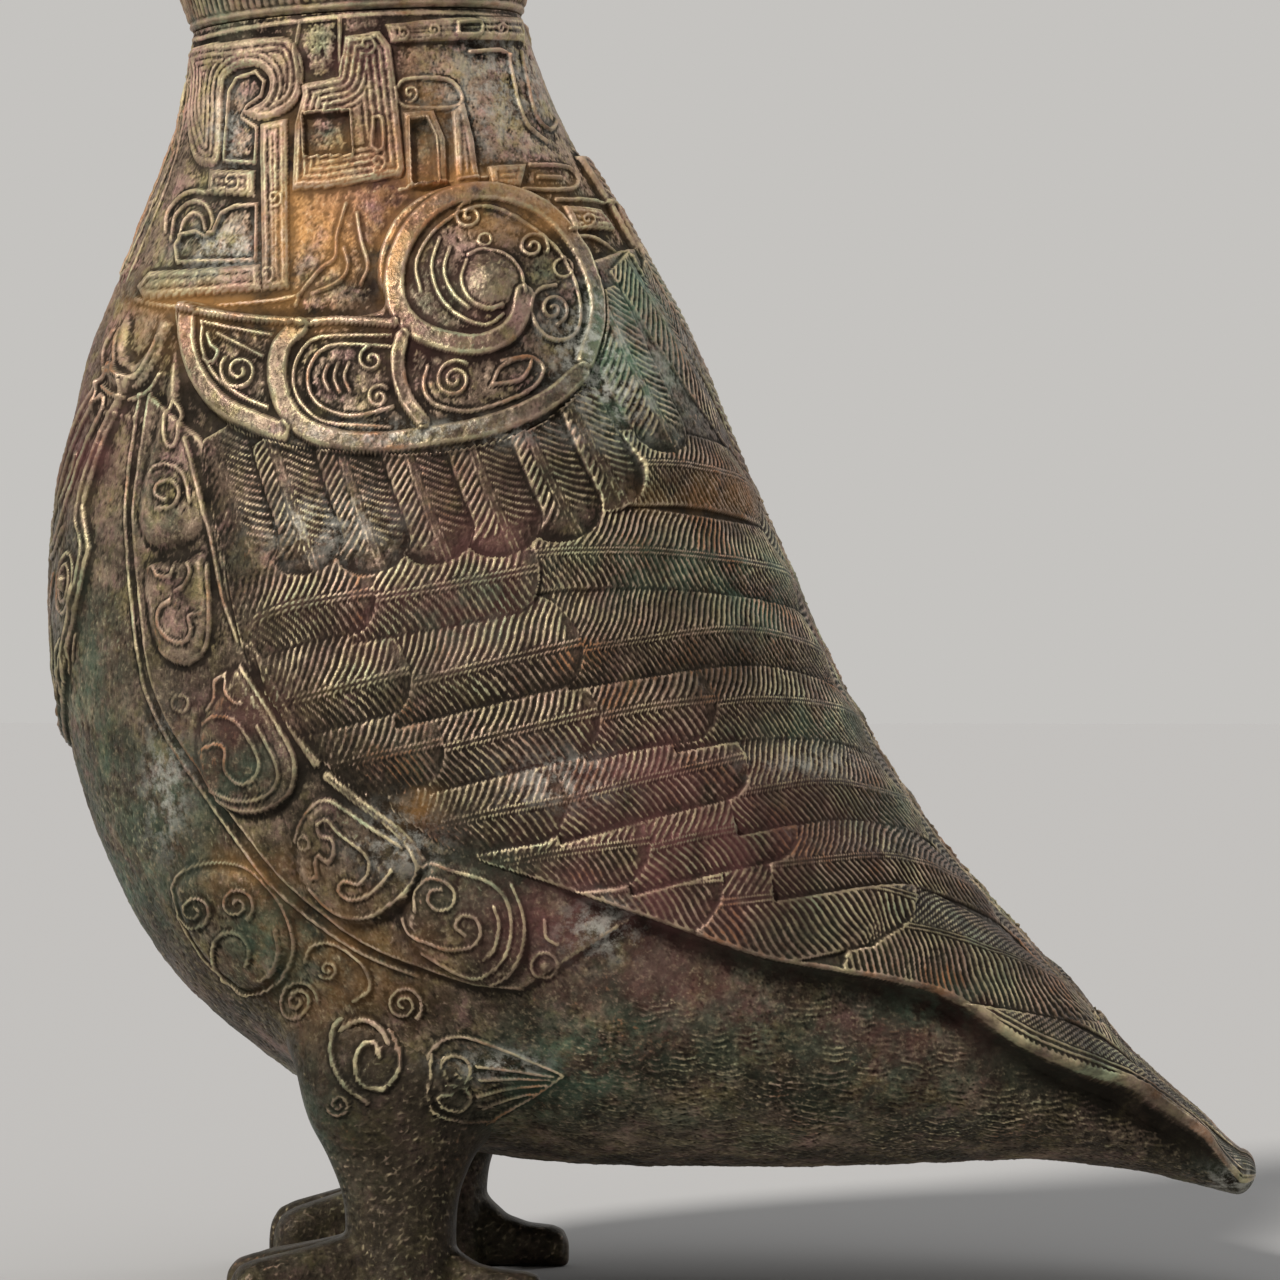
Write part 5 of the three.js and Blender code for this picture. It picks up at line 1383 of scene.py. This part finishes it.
def bronze(name, warm, tone, gloss):
    """Patinated bronze: stains and painted sheen from the mesh's paint, broken up by noise, grime and painted
    shade low down and in hollows, and bare metal on edges, painted as highlights too.
    """
    mat = bpy.data.materials.new(name)
    mat.use_nodes = True
    nodes, links = mat.node_tree.nodes, mat.node_tree.links
    shader = nodes["Principled BSDF"]
    paint = nodes.new("ShaderNodeAttribute")
    paint.attribute_name = "patina"
    rust = nodes.new("ShaderNodeAttribute")
    rust.attribute_name = "rust"
    split = nodes.new("ShaderNodeSeparateColor")
    links.new(paint.outputs["Color"], split.inputs["Color"])
    place = nodes.new("ShaderNodeTexCoord")

    def noise(scale, detail, seed, rough):
        n = nodes.new("ShaderNodeTexNoise")
        n.noise_dimensions = "4D"
        n.inputs["Scale"].default_value = scale
        n.inputs["Detail"].default_value = detail
        n.inputs["Roughness"].default_value = rough
        n.inputs["W"].default_value = seed
        links.new(place.outputs["Object"], n.inputs["Vector"])
        return n.outputs["Fac"]

    def ramp(value, *stops):
        r = nodes.new("ShaderNodeValToRGB")
        while len(r.color_ramp.elements) < len(stops):
            r.color_ramp.elements.new(0.5)
        for e, (at, colour) in zip(r.color_ramp.elements, stops):
            e.position = at
            e.color = (*colour, 1) if isinstance(colour, tuple) else (colour, colour, colour, 1)
        links.new(value, r.inputs["Fac"])
        return r.outputs["Color"]

    def mix(factor, a, b):
        m = nodes.new("ShaderNodeMix")
        m.data_type = "RGBA"
        links.new(factor, m.inputs["Factor"])
        for socket, value in ((m.inputs[6], a), (m.inputs[7], b)):
            if isinstance(value, tuple):
                socket.default_value = (*value, 1)
            else:
                links.new(value, socket)
        return m.outputs[2]

    def times(a, b):
        m = nodes.new("ShaderNodeMath")
        m.operation = "MULTIPLY"
        links.new(a, m.inputs[0])
        links.new(b, m.inputs[1])
        return m.outputs[0]

    def shade(colour):
        return colour[0] * warm * tone, colour[1] * tone, colour[2] * tone

    def pattern(kind):
        settings, *stops = PATTERNS[kind]
        return ramp(noise(*settings), *stops)

    # Bare metal with stains over it, and a rose tint that is partly painted sheen
    # Channel of bare metal that also paints highlight on edges and shade in hollows
    worn_and_shaded = split.outputs["Red"]
    base = ramp(noise(*METAL_NOISE), *((at, shade(colour)) for at, colour in METAL_RAMP))
    for tint, colour in (("ochre", METAL_OCHRE), ("pink_and_sheen", METAL_PINK_AND_SHEEN), ("olive", METAL_OLIVE)):
        base = mix(pattern(tint), base, shade(colour))
    green = times(split.outputs["Green"], pattern("green"))
    red = times(split.outputs["Blue"], pattern("red"))
    earth = times(rust.outputs["Fac"], pattern("earth"))
    for stain, colour in ((green, MALACHITE), (red, CUPRITE), (earth, EARTH)):
        base = mix(stain, base, colour)
    # Darker towards the ground from grime and painted shade from above, with pits, specks, and hollows dark
    # with dirt and painted shade
    height = nodes.new("ShaderNodeSeparateXYZ")
    links.new(place.outputs["Object"], height.inputs["Vector"])
    # Grime with painted shade from above, darker towards the ground
    low_grime_and_shade = times(ramp(height.outputs["Z"], *LOW_GRIME_AND_SHADE_BY_HEIGHT), pattern("low_grime_and_shade"))
    base = mix(low_grime_and_shade, base, LOW_GRIME_AND_SHADE)
    grain = noise(*GRAIN_NOISE)
    base = mix(ramp(grain, *GRAIN_PITS), base, PIT)
    base = mix(ramp(grain, (0.54, 0.0), (0.70, 0.6 - 0.4 * gloss)), base, shade(METAL_SPECK))
    # Hollows darkened by dirt and painted shade
    hollow_dirt_and_shade = times(ramp(worn_and_shaded, *HOLLOW_DIRT_AND_SHADE_STOPS), pattern("hollow_dirt_and_shade"))
    base = mix(hollow_dirt_and_shade, base, HOLLOW_DIRT_AND_SHADE)
    base = mix(ramp(earth, *EARTH_VEIL), base, EARTH_TOP)
    # Whitish crust with painted sheen
    pale_and_sheen = times(paint.outputs["Alpha"], pattern("pale_and_sheen"))
    base = mix(pale_and_sheen, base, CHALK_AND_SHEEN)
    # Edges bared in places and painted as highlights, with a thin veil of the stains
    edge = times(ramp(worn_and_shaded, *EDGE_WEAR_AND_HIGHLIGHT_STOPS), pattern("edge"))
    edge = times(edge, pattern("handled_and_lit"))
    base = mix(edge, base, pattern("rubbed_and_lit"))
    veils = ((green, 0.2, MALACHITE_TOP), (red, 0.5, CUPRITE_TOP), (low_grime_and_shade, 0.22, LOW_GRIME_AND_SHADE_TOP))
    for stain, strength, colour in veils:
        base = mix(ramp(stain, (0.0, 0.0), (1.0, strength)), base, colour)
    links.new(base, shader.inputs["Base Color"])
    shader.inputs["Metallic"].default_value = METAL_SHARE * (1 + gloss)
    shader.inputs["Specular IOR Level"].default_value = SPECULAR
    polish = ramp(noise(*POLISH_NOISE), (0.3, 0.40 - 0.14 * gloss), (0.7, 0.60 - 0.18 * gloss))
    links.new(mix(hollow_dirt_and_shade, polish, DULL), shader.inputs["Roughness"])
    pits = nodes.new("ShaderNodeBump")
    pits.inputs["Strength"].default_value = PIT_STRENGTH
    pits.inputs["Distance"].default_value = PIT_DEPTH
    links.new(noise(*PIT_NOISE), pits.inputs["Height"])
    links.new(pits.outputs["Normal"], shader.inputs["Normal"])
    return mat


# Warmth, tone and gloss of each material slot
FINISHES = {"olive_bronze": (1.0, 2.5, 0.3), "green_bronze": (0.98, 2.2, 1.0),
            "brown_bronze": (1.08, 1.05, 0.5), "dark_bronze": (0.97, 0.85, 0.2)}
finishes = {slot: bronze(slot.replace("_", " "), *look) for slot, look in FINISHES.items()}
for entry in frame["record"]["subparts"]:
    node, finish = entry["node"], entry["material_slot"]
    obj = build(node + "_cast", *joined(*PIECES[node]))
    obj.data.materials.append(finishes[finish])
    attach(obj, "head" if node in frame["record"]["behaviour"]["bodies"]["head"] else "vessel")
    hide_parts(node)

# Floor, light and camera
FLOOR_HALF, FLOOR_COLOUR, FLOOR_ROUGHNESS = 9e3, (0.50, 0.495, 0.49, 1), 0.8
GROUND_COLOUR, GLOW_LOW, GLOW_HIGH = (0.558, 0.546, 0.527, 1), (0.05, 0.05, 0.05, 1), (0.55, 0.55, 0.55, 1)
corners = FLOOR_HALF * np.array([[-1, -1, 0], [1, -1, 0], [1, 1, 0], [-1, 1, 0]])
floor = build("floor", corners, [np.array([[0, 1, 2, 3]])])
floor_mat = bpy.data.materials.new("floor")
floor_mat.use_nodes = True
floor_shader = floor_mat.node_tree.nodes["Principled BSDF"]
floor_shader.inputs["Base Color"].default_value = FLOOR_COLOUR
floor_shader.inputs["Roughness"].default_value = FLOOR_ROUGHNESS
floor_shader.inputs["Specular IOR Level"].default_value = 0.0
floor.data.materials.append(floor_mat)

# Soft light mostly from above, with an even pale ground for the camera
world = bpy.data.worlds.new("studio")
world.use_nodes = True
sky = world.node_tree
seen = sky.nodes.new("ShaderNodeBackground")
seen.inputs["Color"].default_value = GROUND_COLOUR
ambient = sky.nodes["Background"]
place = sky.nodes.new("ShaderNodeTexCoord")
axes = sky.nodes.new("ShaderNodeSeparateXYZ")
glow = sky.nodes.new("ShaderNodeValToRGB")
glow.color_ramp.elements[0].color = GLOW_LOW
glow.color_ramp.elements[1].color = GLOW_HIGH
rays = sky.nodes.new("ShaderNodeLightPath")
blend = sky.nodes.new("ShaderNodeMixShader")
sky.links.new(place.outputs["Generated"], axes.inputs["Vector"])
sky.links.new(axes.outputs["Z"], glow.inputs["Fac"])
sky.links.new(glow.outputs["Color"], ambient.inputs["Color"])
facing_ray = rays.outputs["Is Camera Ray"]
for kind_of_ray in ("Is Glossy Ray", "Is Transmission Ray"):
    either = sky.nodes.new("ShaderNodeMath")
    either.operation = "MAXIMUM"
    sky.links.new(facing_ray, either.inputs[0])
    sky.links.new(rays.outputs[kind_of_ray], either.inputs[1])
    facing_ray = either.outputs[0]
sky.links.new(facing_ray, blend.inputs["Fac"])
sky.links.new(ambient.outputs["Background"], blend.inputs[1])
sky.links.new(seen.outputs["Background"], blend.inputs[2])
sky.links.new(blend.outputs["Shader"], sky.nodes["World Output"].inputs["Surface"])
bpy.context.scene.world = world

# Direction, strength, spread in degrees and colour
SUNS = {"key": ((0.62, 0.78, -0.80), 3.2, 10, (1.0, 0.97, 0.93)),
        "fill": ((-0.80, -0.60, -0.50), 0.5, 30, (1.0, 1.0, 1.0))}
SUN_PLACE, CLIP = (0, 0, 2), (0.05, 20)


def sun(name, way, strength, spread, colour):
    data = bpy.data.lights.new(name, "SUN")
    data.energy = strength
    data.angle = math.radians(spread)
    data.color = colour
    obj = bpy.data.objects.new(name, data)
    bpy.context.scene.collection.objects.link(obj)
    obj.location = SUN_PLACE
    obj.rotation_mode = "QUATERNION"
    obj.rotation_quaternion = Vector(way).to_track_quat("-Z", "Y")


for name, light in SUNS.items():
    sun(name, *light)

camera_data = bpy.data.cameras.new("camera")
camera_data.lens = LENS
camera_data.sensor_width = SENSOR
camera = bpy.data.objects.new("camera", camera_data)
bpy.context.scene.collection.objects.link(camera)
camera.location = EYE * MM
camera.rotation_mode = "QUATERNION"
camera.rotation_quaternion = Vector(TARGET - EYE).to_track_quat("-Z", "Y")
camera_data.clip_start, camera_data.clip_end = CLIP
bpy.context.scene.camera = camera
bpy.context.scene.view_settings.view_transform = "Standard"
